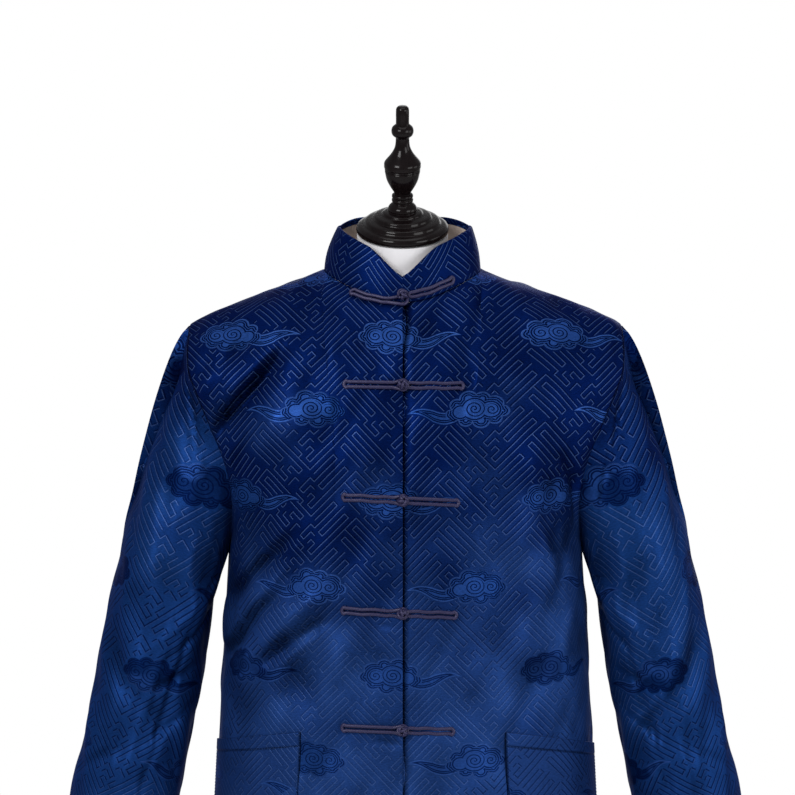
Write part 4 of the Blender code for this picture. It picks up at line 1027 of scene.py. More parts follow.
def collar_height(turn):
    """The collar is highest behind, and its front corners are rounded off."""
    end_height = np.where(np.cos(turn) > 0, COLLAR_FRONT_HEIGHT, COLLAR_BACK_HEIGHT)
    full = COLLAR_SIDE_HEIGHT + (end_height - COLLAR_SIDE_HEIGHT) * np.cos(turn) ** 2
    share = np.minimum(np.abs(NECK_HALF_WIDTH * np.sin(turn)) / COLLAR_CORNER, 1.0)
    rounded = 1 - (1 - share) ** COLLAR_CORNER_POWER
    corner = COLLAR_NOTCH_HEIGHT + (full - COLLAR_NOTCH_HEIGHT) * rounded
    return np.where(np.cos(turn) > 0, corner, full)


def collar_point(base, turn, rise, inward):
    """A place on the collar, which leans in as it rises."""
    out = np.stack([np.sin(turn), -np.cos(turn), np.zeros_like(turn)], -1)
    middle = np.where(np.cos(turn) > 0, COLLAR_LEAN["front"], COLLAR_LEAN["back"])
    side = np.where(turn > 0, COLLAR_LEAN["left"], COLLAR_LEAN["right"])
    lean = side * np.sin(turn) ** 2 + middle * np.cos(turn) ** 2
    lean = lean * (np.maximum(rise, 0.0) / COLLAR_SIDE_HEIGHT) ** COLLAR_LEAN_POWER
    point = base - out * (lean + inward)[..., None]
    point[..., 2] += rise
    return point


def collar_layer(name, rises, inwards, thickness):
    """Sweep a profile round the neck. rises are shares of the height, then metres."""
    turn = np.broadcast_to(RING_TURNS, (len(rises), len(RING_TURNS)))
    share, more = np.array(rises).T[..., None]
    rise = share * collar_height(turn) + more
    inward = np.broadcast_to(np.array(inwards)[:, None], rise.shape)
    points = collar_point(np.broadcast_to(RING, (*rise.shape, 3)), turn, rise, inward)
    normals = grid_normals(points)
    middle = len(RING_TURNS) // 2
    if normals[len(rises) // 4, middle, 1] < 0:
        normals = -normals
    uv = np.stack([-lengths_along(points, 1)[0] + 0 * rise, lengths_along(points, 0)], -1)
    return shell(name, points, normals, uv + np.array(COLLAR_WEAVE), thickness)


def satin_collar():
    """The outer layer: the turned-in seam, the wall, the rolled edge, the facing."""
    rises = [(0.0, -COLLAR_SEAM_DROP + step) for step in COLLAR_SEAM_STEPS]
    inwards = [rolled(r[1] + COLLAR_SEAM_DROP, COLLAR_SEAM_ROLL) for r in rises]
    for share in np.linspace(0.06, 0.95, 15):
        rises.append((share, 0.0))
        inwards.append(0.0)
    for angle in np.linspace(0, pi, 9):
        rises.append((1.0, COLLAR_EDGE_RADIUS * (sin(angle) - 1)))
        inwards.append(COLLAR_EDGE_RADIUS * (1 - cos(angle)))
    for depth in np.linspace(COLLAR_FACING_START, COLLAR_FACING, 3):
        rises.append((1.0, -depth))
        inwards.append(2 * COLLAR_EDGE_RADIUS)
    return collar_layer("cloth_collar", rises, inwards, COLLAR_CLOTH)


def lining():
    """The inner layer, which ends under the facing of the outer one."""
    shares = np.linspace(0, 1, LINING_ROWS)
    rises = [(share, LINING_FOOT - LINING_SHORTER * share) for share in shares]
    inwards = [LINING_DEPTH] * LINING_ROWS
    return collar_layer("cloth_collar_lining", rises, inwards, LINING_CLOTH)


collar = satin_collar()
collar_lining = lining()

# %% [markdown]
# ## Frogs
#
# A frog is a bias-cut cord, sewn down double. One arm opens into a loop, the
# other ends in a ball knot that slips through it. Each arm is one closed line of
# cord, drawn in the arm's own plane: how far it is from the opening, and how far
# to the side. The knot is a line that winds round a ball and passes over and
# under itself, as a tied one does.

# %% Cords
CORD_RADIUS = 0.00185
CORD_SPACING = 0.0025
CORD_LIFT = 0.0019
CORD_SIDES = 12
CORD_ANGLE = 80


def smooth_spans(a, b, c, d, per_span):
    """Places on a Catmull-Rom curve from each b to its c, with a before and d after."""
    t = (np.arange(per_span) / per_span)[None, :, None]
    curve = 2 * b + (c - a) * t + (2 * a - 5 * b + 4 * c - d) * t ** 2
    curve = curve + (3 * b - a - 3 * c + d) * t ** 3
    return (curve / 2).reshape(-1, b.shape[-1])


def smooth_closed(points, per_span):
    """A smooth closed line through points."""
    p = np.asarray(points, float)
    ends = [np.roll(p, k, axis=0)[:, None, :] for k in (1, 0, -1, -2)]
    return smooth_spans(*ends, per_span)


def tube_rings(aside, up, sides):
    """Directions from the middle of a tube to its surface, ring by ring."""
    angle = (2 * pi * np.arange(sides) / sides)[None, :, None]
    return aside[:, None, :] * np.cos(angle) + up[:, None, :] * np.sin(angle)


def cord_mesh(name, line, outs, radius, sides=CORD_SIDES):
    """A tube round a closed line. outs points away from the cloth at each place."""
    along = unit(np.roll(line, -1, axis=0) - np.roll(line, 1, axis=0))
    aside = unit(np.cross(along, outs))
    up = np.cross(aside, along)
    points = line[:, None, :] + tube_rings(aside, up, sides) * radius
    i, j = cell_corners(len(line) + 1, sides, around=True)
    faces = (i % len(line)) * sides + j % sides
    travelled = np.append(0, np.cumsum(np.linalg.norm(np.roll(line, -1, axis=0) - line, axis=1)))
    uvs = np.stack([travelled[i], j / sides * 2 * pi * radius], -1)
    return mesh_object(name, points.reshape(-1, 3), faces, uvs.reshape(-1, 2), CORD_ANGLE)


# %% [markdown]
# ## Where the frogs lie
#
# Four frogs lie on the fronts, tilted a little as a hand sews them. The top one
# bridges the neck seam: its button arm lies on the collar and its loop arm just
# below the seam. So an arm is drawn flat once, and two functions lay it down, one
# on the fronts and one at the collar.

# %% Frog shapes
FrogPlace = namedtuple("FrogPlace", "height arm_right arm_left tilt")
FROG_PLACES = (
    FrogPlace(height=1.3270, arm_right=0.060, arm_left=0.062, tilt=-0.015),
    FrogPlace(height=1.2110, arm_right=0.061, arm_left=0.057, tilt=-0.050),
    FrogPlace(height=1.0950, arm_right=0.062, arm_left=0.055, tilt=-0.040),
    FrogPlace(height=0.9745, arm_right=0.062, arm_left=0.052, tilt=-0.030),
)
COLLAR_FROG_ARMS = {"loop": 0.0445, "button": 0.0470}
COLLAR_FROG_LIFT = 0.0026
COLLAR_FROG_END_LIFT = 0.0012
COLLAR_FROG_SINK = 0.0006
COLLAR_FROG_CLEAR = 0.0002
COLLAR_FROG_DROP = 0.0058
COLLAR_FROG_RISE_START = 0.0062
COLLAR_FROG_RISE_END = 0.0085
COLLAR_KNOT_RISE = 0.0070
BELOW_SEAM = 0.012
TURN_STEP = radians(2)
ARM_STATIONS = 7
ARM_START = 0.0095
ARM_END_ROOM = 0.0045
ARM_WOBBLE = 0.0004
WOBBLE_TURN = 1.9
TIP_BACK = 0.0018
TIP_WIDER = 1.25
TIP_SINK = 0.0004
EYE_RADIUS = 0.0050
EYE_LIFT = 0.0009
EYE_ANGLES = np.radians([-52, -100, -145, 180, 145, 100, 52])
BUTTON_NECK = 0.0052
BUTTON_TIP = 0.0034
BUTTON_WIDTH = 0.8
BUTTON_LIFTS = (0.0006, 0.0008)
KNOT_RADIUS = 0.0062
KNOT_SEAT_SHARE = 0.82
KNOT_SEAT_LIFT = 0.0006
KNOT_CORD_RADIUS = 0.00150
KNOT_CORD_SIDES = 10
KNOT_PLACES = 150
KNOT_TURNS = 3
KNOT_WAVES = 5
KNOT_REACH = 0.92
KNOT_DISTANCE = 0.0041
KNOT_OVER = 0.0009
KNOT_TILT = radians(38)


def arm_line(length, is_loop, wobble):
    """The closed line of an arm: distance from the opening, offset, extra lift."""
    o = CORD_SPACING
    stations = np.linspace(ARM_START, length - ARM_END_ROOM, ARM_STATIONS)
    wave = wobble * ARM_WOBBLE * np.sin(np.arange(ARM_STATIONS) * WOBBLE_TURN)
    upper = [(s, o + w, 0.0) for s, w in zip(stations, wave)]
    lower = [(s, -o + w, 0.0) for s, w in zip(stations[::-1], wave[::-1])]
    end = [
        (length - TIP_BACK, o * TIP_WIDER, 0.0),
        (length, 0.0, -TIP_SINK),
        (length - TIP_BACK, -o * TIP_WIDER, 0.0),
    ]
    if is_loop:
        eye = [(EYE_RADIUS * cos(a), EYE_RADIUS * sin(a), EYE_LIFT) for a in EYE_ANGLES]
    else:
        neck_lift, tip_lift = BUTTON_LIFTS
        eye = [
            (BUTTON_NECK, -o * BUTTON_WIDTH, neck_lift),
            (BUTTON_TIP, 0.0, tip_lift),
            (BUTTON_NECK, o * BUTTON_WIDTH, neck_lift),
        ]
    return smooth_closed(upper + end + lower + eye, 6)


def body_arm_place(place, side):
    """Where the line of a frog's arm lies on the front."""
    def at(line):
        x = side * line[:, 0]
        z = place.height + place.tilt * x + line[:, 1]
        return front_place(x, z, CORD_LIFT + line[:, 2])
    return at


def collar_arm_place(side, length):
    """The top frog: one arm lies under the neck seam, the other on the collar."""
    def at(line):
        away = np.clip(line[:, 0], 0.0, None)
        share = np.clip(away / length, 0, 1)
        turn = side * np.arcsin(np.minimum(away / NECK_HALF_WIDTH, 1.0))
        seam = seam_place(turn)
        collar_out = np.stack([np.sin(turn), -np.cos(turn), 0 * turn], -1)
        if side > 0:
            rise = COLLAR_FROG_RISE_START + (COLLAR_FROG_RISE_END - COLLAR_FROG_RISE_START) * share
            point = collar_point(seam, turn, rise + line[:, 1], 0 * turn)
            lift = CORD_LIFT + line[:, 2] + COLLAR_FROG_CLEAR
            return point + collar_out * lift[:, None], collar_out
        slope = front_normal(seam[:, 0], seam[:, 2] - BELOW_SEAM)
        along = unit(seam_place(turn + TURN_STEP) - seam_place(turn - TURN_STEP))
        along = np.where(along[:, :1] < 0, -along, along)
        down = unit(np.cross(along, slope))
        down = np.where(down[:, 2:] > 0, -down, down)
        middle = unit(collar_out + slope)
        out = unit(middle + (slope - middle) * share[:, None])
        lift = COLLAR_FROG_LIFT + (COLLAR_FROG_END_LIFT - COLLAR_FROG_LIFT) * share
        lift = lift + CORD_LIFT - COLLAR_FROG_SINK + line[:, 2]
        away_down = COLLAR_FROG_DROP * share - line[:, 1]
        point = seam + down * away_down[:, None] + out * lift[:, None]
        overshoot = np.minimum(line[:, 0], 0.0)
        point[:, 0] += side * overshoot
        return point, out
    return at


def knot_line():
    """A line that winds round a ball three times while it rises and falls."""
    t = 2 * pi * np.arange(KNOT_PLACES) / KNOT_PLACES
    latitude = KNOT_REACH * np.cos(KNOT_WAVES * t)
    distance = KNOT_DISTANCE + KNOT_OVER * np.sin(KNOT_WAVES * t)
    flat = distance * np.cos(latitude)
    x, z = flat * np.cos(KNOT_TURNS * t), flat * np.sin(KNOT_TURNS * t)
    line = np.stack([x, distance * np.sin(latitude), z], -1)
    return line, unit(line)


def knot(name, seat, out, spin):
    """A ball knot that sits on the cloth and faces away from it."""
    line, outs = knot_line()
    turn = Vector((0.0, -1.0, 0.0)).rotation_difference(Vector(out)).to_matrix()
    turn = np.array(turn @ Matrix.Rotation(spin, 3, "Y") @ Matrix.Rotation(KNOT_TILT, 3, "X"))
    centre = seat + out * (KNOT_RADIUS * KNOT_SEAT_SHARE + KNOT_SEAT_LIFT)
    places = line @ turn.T + centre
    return cord_mesh(name, places, outs @ turn.T, KNOT_CORD_RADIUS, sides=KNOT_CORD_SIDES)


# %% Frogs on the jacket
# Each arm wobbles a little differently, and each knot is turned by another angle.
KNOT_SPIN = 1.3
frogs = []
for number in range(1, len(FROG_PLACES) + 2):
    for word, side in (("loop", -1), ("button", 1)):
        if number == 1:
            length = COLLAR_FROG_ARMS[word]
            place_of = collar_arm_place(side, length)
        else:
            row = FROG_PLACES[number - 2]
            length = row.arm_right if side < 0 else row.arm_left
            place_of = body_arm_place(row, side)
        line = arm_line(length, word == "loop", (number * 7 + side) % 3 - 1)
        points, outs = place_of(line)
        frogs.append(cord_mesh(f"cord_frog_{number}_{word}", points, outs, CORD_RADIUS))
    if number == 1:
        seat = collar_point(RING[:1], np.zeros(1), np.array([COLLAR_KNOT_RISE]), np.zeros(1))[0]
        seat_out = np.array([0.0, -1.0, 0.0])
    else:
        seat = plain_place(0.0, row.height)
        seat_out = front_normal(0.0, row.height)
    frogs.append(knot(f"cord_frog_{number}_knot", seat, seat_out, number * KNOT_SPIN))
print("frog pieces:", len(frogs))

# %% [markdown]
# ## Stitches
#
# A topstitch is a row of short lengths of thread that dive into the cloth at
# both ends. Each pocket has one row round its sides and bottom and one along the
# hem of its mouth. A bump texture would blur, so each thread is a small tube, and
# all the threads of a pocket are one mesh.

# %% Stitches
STITCH_LENGTH = 0.0026
STITCH_PITCH = 0.0034
STITCH_START = 0.0008
STITCH_INSET = 0.0022
STITCH_TOP = 0.995
OUTLINE_LIFT = 0.00005
HEM_LIFT = 0.0001
THREAD_RADIUS = 0.00022
THREAD_SIDES = 6
THREAD_SHARES = np.array([0.0, 0.15, 0.5, 0.85, 1.0])
THREAD_RISES = np.array([-0.0003, 0.00005, 0.00014, 0.00005, -0.0003])
LINE_PLACES = 120


def thread(line, normals, travelled, start):
    """Points of one thread that lies on a line and dives into the cloth at its ends."""
    at = start + STITCH_LENGTH * THREAD_SHARES
    spine = np.stack([np.interp(at, travelled, line[:, k]) for k in range(3)], -1)
    out = unit(np.stack([np.interp(at, travelled, normals[:, k]) for k in range(3)], -1))
    spine = spine + out * THREAD_RISES[:, None]
    along = unit(np.gradient(spine, axis=0))
    aside = unit(np.cross(along, out))
    rings = tube_rings(aside, np.cross(aside, along), THREAD_SIDES)
    return (spine[:, None] + rings * THREAD_RADIUS).reshape(-1, 3)


def stitch_rows(name, rows):
    """Short threads along rows of places. Each row holds points and normals."""
    threads, faces = [], []
    i, j = cell_corners(len(THREAD_SHARES), THREAD_SIDES, around=True)
    walls = i * THREAD_SIDES + j % THREAD_SIDES
    last_ring = (len(THREAD_SHARES) - 1) * THREAD_SIDES
    for line, normals in rows:
        travelled = lengths_along(line[:, None, :], 0)[:, 0]
        for start in np.arange(STITCH_START, travelled[-1] - STITCH_LENGTH, STITCH_PITCH):
            first = len(threads) * (last_ring + THREAD_SIDES)
            threads.append(thread(line, normals, travelled, start))
            faces += (walls + first).tolist()
            for ring in (first, first + last_ring):
                faces.append(list(range(ring, ring + THREAD_SIDES)))
    print(name, "threads:", len(threads))
    return mesh_object(name, eased(np.concatenate(threads)), faces, smooth_angle=180)


def pocket_stitches(name, side):
    """A row of stitches down, along and up a pocket's edge, and one along its hem."""
    inset_w = STITCH_INSET / POCKET_WIDTH
    inset_h = STITCH_INSET / POCKET_HEIGHT
    still = np.ones(LINE_PLACES)
    down = np.linspace(STITCH_TOP, inset_h, LINE_PLACES)
    across = np.linspace(inset_w, 1 - inset_w, LINE_PLACES)
    reach = np.concatenate([still * inset_w, across, still * (1 - inset_w)])
    share = np.concatenate([down, still * inset_h, down[::-1]])
    hem_line = still * (1 - POCKET_HEM / POCKET_HEIGHT)
    rows = [
        pocket_place(side, reach, share, POCKET_LIFT + OUTLINE_LIFT),
        pocket_place(side, across, hem_line, POCKET_LIFT - STITCH_DIP + HEM_LIFT),
    ]
    return stitch_rows(name, rows)


stitches_right = pocket_stitches("thread_pocket_right", -1)
stitches_left = pocket_stitches("thread_pocket_left", 1)

# %% [markdown]
# ## Dress form
#
# The form is a stuffed torso covered in white knit. Its sections are the solid's,
# read at many more heights. Its shoulders stop just under the jacket's shoulder
# line, which hangs on them.

# %% Form tables
CAP_TILT = radians(18)
CAP_CENTRE = Vector((0.0, -0.015, 1.483))
NECK_ROOT_Z = 1.425
FORM_BELOW_CLOTH = 0.0022
FORM_SIDES = 96
FORM_ANGLE = 60
WIDEST_SHOULDER = 0.25
FormSection = namedtuple("FormSection", "height half_width front back tilt power")
FORM_SECTIONS = named_rows(
    FormSection,
    (0.790, 0.1500, 0.1000, 0.1020, 0, 2.3),
    (0.850, 0.1600, 0.1060, 0.1080, 0, 2.3),
    (0.930, 0.1560, 0.1040, 0.1020, 0, 2.3),
    (1.010, 0.1470, 0.1040, 0.0960, 0, 2.3),
    (1.090, 0.1530, 0.1120, 0.1020, 0, 2.3),
    (1.160, 0.1640, 0.1200, 0.1090, 0, 2.3),
    (1.230, 0.1700, 0.1180, 0.1080, 0, 2.3),
    (1.290, 0.1880, 0.1060, 0.1020, 0, 2.2),
    (1.335, 0.1970, 0.0920, 0.0920, 0, 2.0),
    (1.372, 0.2120, 0.0770, 0.0810, 0, 1.8),
    (1.392, 0.2120, 0.0680, 0.0730, 0, 1.7),
    (1.408, 0.2120, 0.0610, 0.0670, 0, 1.7),
    (1.421, 0.2120, 0.0550, 0.0610, 0, 1.7),
)
FORM_NECK = named_rows(
    FormSection,
    (1.421, 0.1100, 0.0550, 0.0610, 0, 1.7),
    (1.430, 0.0760, 0.0540, 0.0580, 2, 2.0),
    (1.438, 0.0600, 0.0500, 0.0530, 6, 2.0),
    (1.448, 0.0510, 0.0470, 0.0480, 11, 2.0),
    (1.460, 0.0485, 0.0465, 0.0460, 15, 2.0),
    (1.478, 0.0475, 0.0460, 0.0460, 18, 2.0),
)

# %% Form


def shoulder_limit(heights):
    """How far out the shoulder line is still above these heights."""
    x = np.linspace(0, WIDEST_SHOULDER, 600)
    return np.interp(-(heights + FORM_BELOW_CLOTH), -ridge_height(x), x)


def form_rings(sections, heights):
    """Rings of the form. Its neck leans forward, so its rings tilt with the cap."""
    values = {key: read(sections, "height", key, heights) for key in FormSection._fields[1:]}
    if sections is FORM_SECTIONS:
        values["half_width"] = np.minimum(values["half_width"], shoulder_limit(heights))
    else:
        values["half_width"][0] = shoulder_limit(heights[:1])[0]
    turn = np.linspace(0, 2 * pi, FORM_SIDES, endpoint=False)[None, :]
    power = 2 / values["power"][:, None]
    reach = np.where(np.cos(turn) > 0, values["front"][:, None], values["back"][:, None])
    x = values["half_width"][:, None] * signed_power(np.sin(turn), power)
    y = -reach * signed_power(np.cos(turn), power)
    tilt = np.radians(values["tilt"])[:, None]
    share = np.clip((heights - NECK_ROOT_Z) / (CAP_CENTRE.z - NECK_ROOT_Z), 0, 1)[:, None]
    y, z = CAP_CENTRE.y * share + y * np.cos(tilt), heights[:, None] + y * np.sin(tilt)
    return np.stack([x, y, z], -1)


def closed_rings(name, rings, smooth_angle):
    """A closed body from rings of points, with flat ends."""
    rows, sides = rings.shape[:2]
    i, j = cell_corners(rows, sides, around=True)
    faces = (i * sides + j % sides).tolist()
    faces += [list(range(sides)), list(range((rows - 1) * sides, rows * sides))]
    return mesh_object(name, rings.reshape(-1, 3), faces, smooth_angle=smooth_angle)


form_heights = np.concatenate([np.linspace(0.790, 1.372, 44), np.linspace(1.378, 1.421, 9)])
neck_heights = np.linspace(1.4225, 1.478, 22)
torso_and_neck = [form_rings(FORM_SECTIONS, form_heights), form_rings(FORM_NECK, neck_heights)]
form = closed_rings("form_body", np.concatenate(torso_and_neck), FORM_ANGLE)
print("rings of the form:", len(form_heights) + len(neck_heights))

# %% [markdown]
# ## Turned pieces
#
# The cap with its finial, the pole and the base are turned, so each is a profile
# swept round an axis. A smooth curve through the profile's places gives the
# rounded beads that a lathe cuts.

# %% Turned pieces
Turning = namedtuple("Turning", "along radius")
CAP_PROFILE = named_rows(
    Turning,
    (-0.0050, 0.0440), (-0.0030, 0.0475), (0.0000, 0.0483),
    (0.0030, 0.0475), (0.0050, 0.0450), (0.0058, 0.0420),
    (0.0064, 0.0402), (0.0096, 0.0390), (0.0108, 0.0370),
    (0.0116, 0.0326), (0.0122, 0.0306), (0.0148, 0.0298),
    (0.0158, 0.0280), (0.0164, 0.0236), (0.0170, 0.0212),
    (0.0186, 0.0205), (0.0196, 0.0184), (0.0202, 0.0150),
    (0.0222, 0.0152), (0.0250, 0.0145), (0.0276, 0.0124),
    (0.0292, 0.0104), (0.0300, 0.0099), (0.0308, 0.0110),
    (0.0330, 0.0112), (0.0340, 0.0102), (0.0348, 0.0102),
    (0.0358, 0.0111), (0.0382, 0.0108), (0.0390, 0.0092),
    (0.0396, 0.0083), (0.0428, 0.0101), (0.0490, 0.0138),
    (0.0555, 0.0167), (0.0620, 0.0181), (0.0640, 0.0184),
    (0.0650, 0.0179), (0.0660, 0.0186), (0.0670, 0.0182),
    (0.0682, 0.0191), (0.0710, 0.0192), (0.0746, 0.0184),
    (0.0826, 0.0120), (0.0905, 0.0080), (0.0990, 0.0071),
    (0.1014, 0.0078), (0.1040, 0.0106), (0.1080, 0.0116),
    (0.1120, 0.0106), (0.1146, 0.0078), (0.1160, 0.0069),
    (0.1310, 0.0068), (0.1345, 0.0048),
)
POLE_RADIUS = 0.015
BASE_PROFILE = named_rows(
    Turning,
    (0.0, 0.183), (0.0006, 0.1845), (0.002, 0.185), (0.008, 0.185),
    (0.0094, 0.1845), (0.010, 0.183), (0.0130, 0.118), (0.016, 0.052),
    (0.019, 0.032), (0.026, 0.0270), (0.034, 0.0242), (0.0385, 0.0234),
    (0.040, 0.0222),
)
POLE_PROFILE = tuple(Turning(along, POLE_RADIUS) for along in (0.0403, 0.4150, 0.7897))


def lathe(name, profile, place, sides, smooth_angle, per_span=1):
    """A body turned from a profile, smoothed if it has more than one place per span."""
    p = np.array(profile)
    if per_span > 1:
        ends = np.concatenate([[2 * p[0] - p[1]], p, [2 * p[-1] - p[-2]]])
        spans = smooth_spans(*(ends[k:len(ends) - 3 + k, None, :] for k in range(4)), per_span)
        p = np.concatenate([spans, p[-1:]])
    turn = np.linspace(0, 2 * pi, sides, endpoint=False)[None, :]
    along, radius = p[:, :1], p[:, 1:]
    local = np.stack([radius * np.cos(turn), radius * np.sin(turn), along + 0 * turn], -1)
    turned = local @ np.array(place.to_3x3()).T + np.array(place.translation)
    return closed_rings(name, turned, smooth_angle)


cap_place = Matrix.Translation(CAP_CENTRE) @ Matrix.Rotation(CAP_TILT, 4, "X")
upright_place = Matrix.Identity(4)
cap = lathe("cap_turned", CAP_PROFILE, cap_place, sides=96, smooth_angle=50, per_span=3)
pole = lathe("stand_tube", POLE_PROFILE, upright_place, sides=64, smooth_angle=40)
base = lathe("stand_foot", BASE_PROFILE, upright_place, sides=128, smooth_angle=40)
print("turned:", [(made.name, len(made.data.vertices)) for made in (cap, pole, base)])

# %% [markdown]
# ## Shader maths
#
# A material is a graph of nodes. To write it as sums and products, a Wire wraps
# one socket and adds the Math node behind each operator. Any other node comes
# from Finish.node, which takes its type, its settings and its inputs.

# %% Shader maths


class Wire:
    """The output of a node, which can be added, multiplied and compared."""

    def __init__(self, finish, socket):
        self.finish = finish
        self.socket = socket

    def math(self, operation, *inputs):
        return self.finish.node("ShaderNodeMath", {"operation": operation}, dict(enumerate(inputs)))

    def __add__(self, other):
        return self.math("ADD", self, other)

    def __sub__(self, other):
        return self.math("SUBTRACT", self, other)

    def __rsub__(self, other):
        return self.math("SUBTRACT", other, self)

    def __mul__(self, other):
        return self.math("MULTIPLY", self, other)

    def __truediv__(self, other):
        return self.math("DIVIDE", self, other)

    def __mod__(self, other):
        return self.math("FLOORED_MODULO", self, other)

    __radd__ = __add__
    __rmul__ = __mul__

    def floor(self):
        return self.math("FLOOR", self)

    def size(self):
        return self.math("ABSOLUTE", self)

    def sine(self):
        return self.math("SINE", self)

    def root(self):
        return self.math("SQRT", self)

    def least(self, other):
        return self.math("MINIMUM", self, other)

    def most(self, other):
        return self.math("MAXIMUM", self, other)

    def above(self, limit):
        return self.math("GREATER_THAN", self, limit)

    def fade(self, start, end):
        """0 at start and 1 at end, with a soft step between them."""
        values = {"Value": self, "From Min": start, "From Max": end}
        return self.finish.node("ShaderNodeMapRange", {"interpolation_type": "SMOOTHSTEP"}, values)


class Finish:
    """A material made of one Principled shader and the nodes before it."""

    def __init__(self, name, **values):
        self.material = bpy.data.materials.new(name)
        self.material.use_nodes = True
        self.nodes = self.material.node_tree.nodes
        self.shader = self.nodes["Principled BSDF"]
        self.surface(**values)

    def connect(self, node, inputs):
        for key, value in inputs.items():
            socket = node.inputs[key]
            if isinstance(value, Wire):
                self.material.node_tree.links.new(value.socket, socket)
            elif socket.type == "RGBA":
                socket.default_value = (*value, 1.0)
            else:
                socket.default_value = value

    def node(self, kind, settings, inputs, output=0):
        made = self.nodes.new(kind)
        for key, value in settings.items():
            if key == "stops":
                while len(made.color_ramp.elements) < len(value):
                    made.color_ramp.elements.new(0.5)
                for stop, (place, colour) in zip(made.color_ramp.elements, value):
                    stop.position = place
                    stop.color = (*colour, 1.0)
            elif key == "steps":
                made.color_ramp.interpolation = value
            else:
                setattr(made, key, value)
        self.connect(made, inputs)
        return Wire(self, made.outputs[output])

    def mix(self, factor, low, high):
        """Mix two colours."""
        return self.node("ShaderNodeMix", {"data_type": "RGBA"}, {0: factor, 6: low, 7: high}, 2)

    def multiplied(self, colour, by):
        settings = {"data_type": "RGBA", "blend_type": "MULTIPLY"}
        return self.node("ShaderNodeMix", settings, {0: 1.0, 6: colour, 7: by}, 2)

    def noise(self, scale, detail, vector=None):
        vector = self.place() if vector is None else vector
        inputs = {"Scale": scale, "Detail": detail, "Vector": vector}
        return self.node("ShaderNodeTexNoise", {}, inputs)

    def place(self):
        return self.node("ShaderNodeTexCoord", {}, {}, "Object")

    def split(self, vector):
        return [self.node("ShaderNodeSeparateXYZ", {}, {0: vector}, k) for k in range(3)]

    def join(self, x, y, z=0.0):
        return self.node("ShaderNodeCombineXYZ", {}, {0: x, 1: y, 2: z})

    def surface(self, **inputs):
        self.connect(self.shader, {key.replace("_", " "): value for key, value in inputs.items()})

    def relief(self, height, metres, strength):
        values = {"Height": height, "Distance": metres, "Strength": strength}
        return self.node("ShaderNodeBump", {}, values)


# %% [markdown]
# ## The key fret
#
# The figure of the satin is an old fret: bundles of parallel lines that end in
# hooks, laid as a herringbone and turned by 45 degrees. It is charted here for
# one brick of the herringbone, 12 steps long and 6 wide, as a weaver would on
# squared paper. Python turns the strokes into two charts of 24 by 24 squares,
# one for each direction of line, and each row of a chart becomes two numbers.
# A ramp hands a row's numbers to the shader, which picks one bit of them.

# %% Fret chart
FRET_SIZE = 24
HALF_ROW = FRET_SIZE // 2
ROW_SCALE = 2 ** HALF_ROW
BRICK = 6
Stroke = namedtuple("Stroke", "along across to_along to_across")
FRET_STROKES = named_rows(
    Stroke,
    (0, 0, 12, 0),
    (1, 1, 11, 1),
    (11, 1, 11, 2),
    (11, 2, 5, 2),
    (1, 1, 1, 2),
    (1, 2, 3, 2),
    (3, 2, 3, 3),
    (3, 3, 2, 3),
    (0, 3, 1, 3),
    (1, 3, 1, 5),
    (5, 2, 5, 3),
    (5, 3, 12, 3),
    (2, 4, 4, 4),
    (4, 4, 4, 3),
    (2, 4, 2, 5),
    (2, 5, 5, 5),
    (5, 5, 5, 4),
    (5, 4, 11, 4),
    (11, 4, 11, 5),
    (11, 5, 6, 5),
)
upright = np.zeros((FRET_SIZE, FRET_SIZE), int)
level = np.zeros((FRET_SIZE, FRET_SIZE), int)


def draw(x, y, to_x, to_y):
    """Mark the edges of the chart between two places on one line."""
    if x == to_x:
        for row in range(min(y, to_y), max(y, to_y)):
            upright[row % FRET_SIZE, x % FRET_SIZE] = 1
    else:
        for column in range(min(x, to_x), max(x, to_x)):
            level[y % FRET_SIZE, column % FRET_SIZE] = 1


for place in range(0, FRET_SIZE, BRICK):
    for s in FRET_STROKES:
        draw(place + s.along, place + s.across, place + s.to_along, place + s.to_across)
        draw(place - s.across, place + s.along, place - s.to_across, place + s.to_along)
print("fret squares drawn:", int(upright.sum() + level.sum()))


def row_stops(chart):
    """One ramp stop per row. Red holds the first half of its bits, green the rest."""
    weights = 2 ** np.arange(HALF_ROW) / ROW_SCALE
    return [
        (row / FRET_SIZE, (float(bits[:HALF_ROW] @ weights), float(bits[HALF_ROW:] @ weights), 0.0))
        for row, bits in enumerate(chart)
    ]


def charted(finish, chart, column, row):
    """1 where the chart has a mark at a whole column and row."""
    column = column % FRET_SIZE
    row = (row % FRET_SIZE + 0.5) / FRET_SIZE
    settings = {"stops": row_stops(chart), "steps": "CONSTANT"}
    ramp = finish.node("ShaderNodeValToRGB", settings, {0: row})
    parts = [finish.node("ShaderNodeSeparateColor", {}, {0: ramp}, k) for k in range(2)]
    second = column.above(HALF_ROW - 0.5)
    number = parts[0] + (parts[1] - parts[0]) * second
    bit = column - second * HALF_ROW
    power = bit.math("POWER", 2.0, bit)
    return (((number * ROW_SCALE + 0.5) / power).floor() % 2.0).above(0.5)


# %% Fret lines
FRET_STEP = 0.0056
FRET_LINE = 0.036
FRET_SOFT = 0.070
# A painted shadow runs beside each line of the fret, a little to one side.
SHADOW_SIDE = 0.19
SHADOW_WIDTH = 0.085


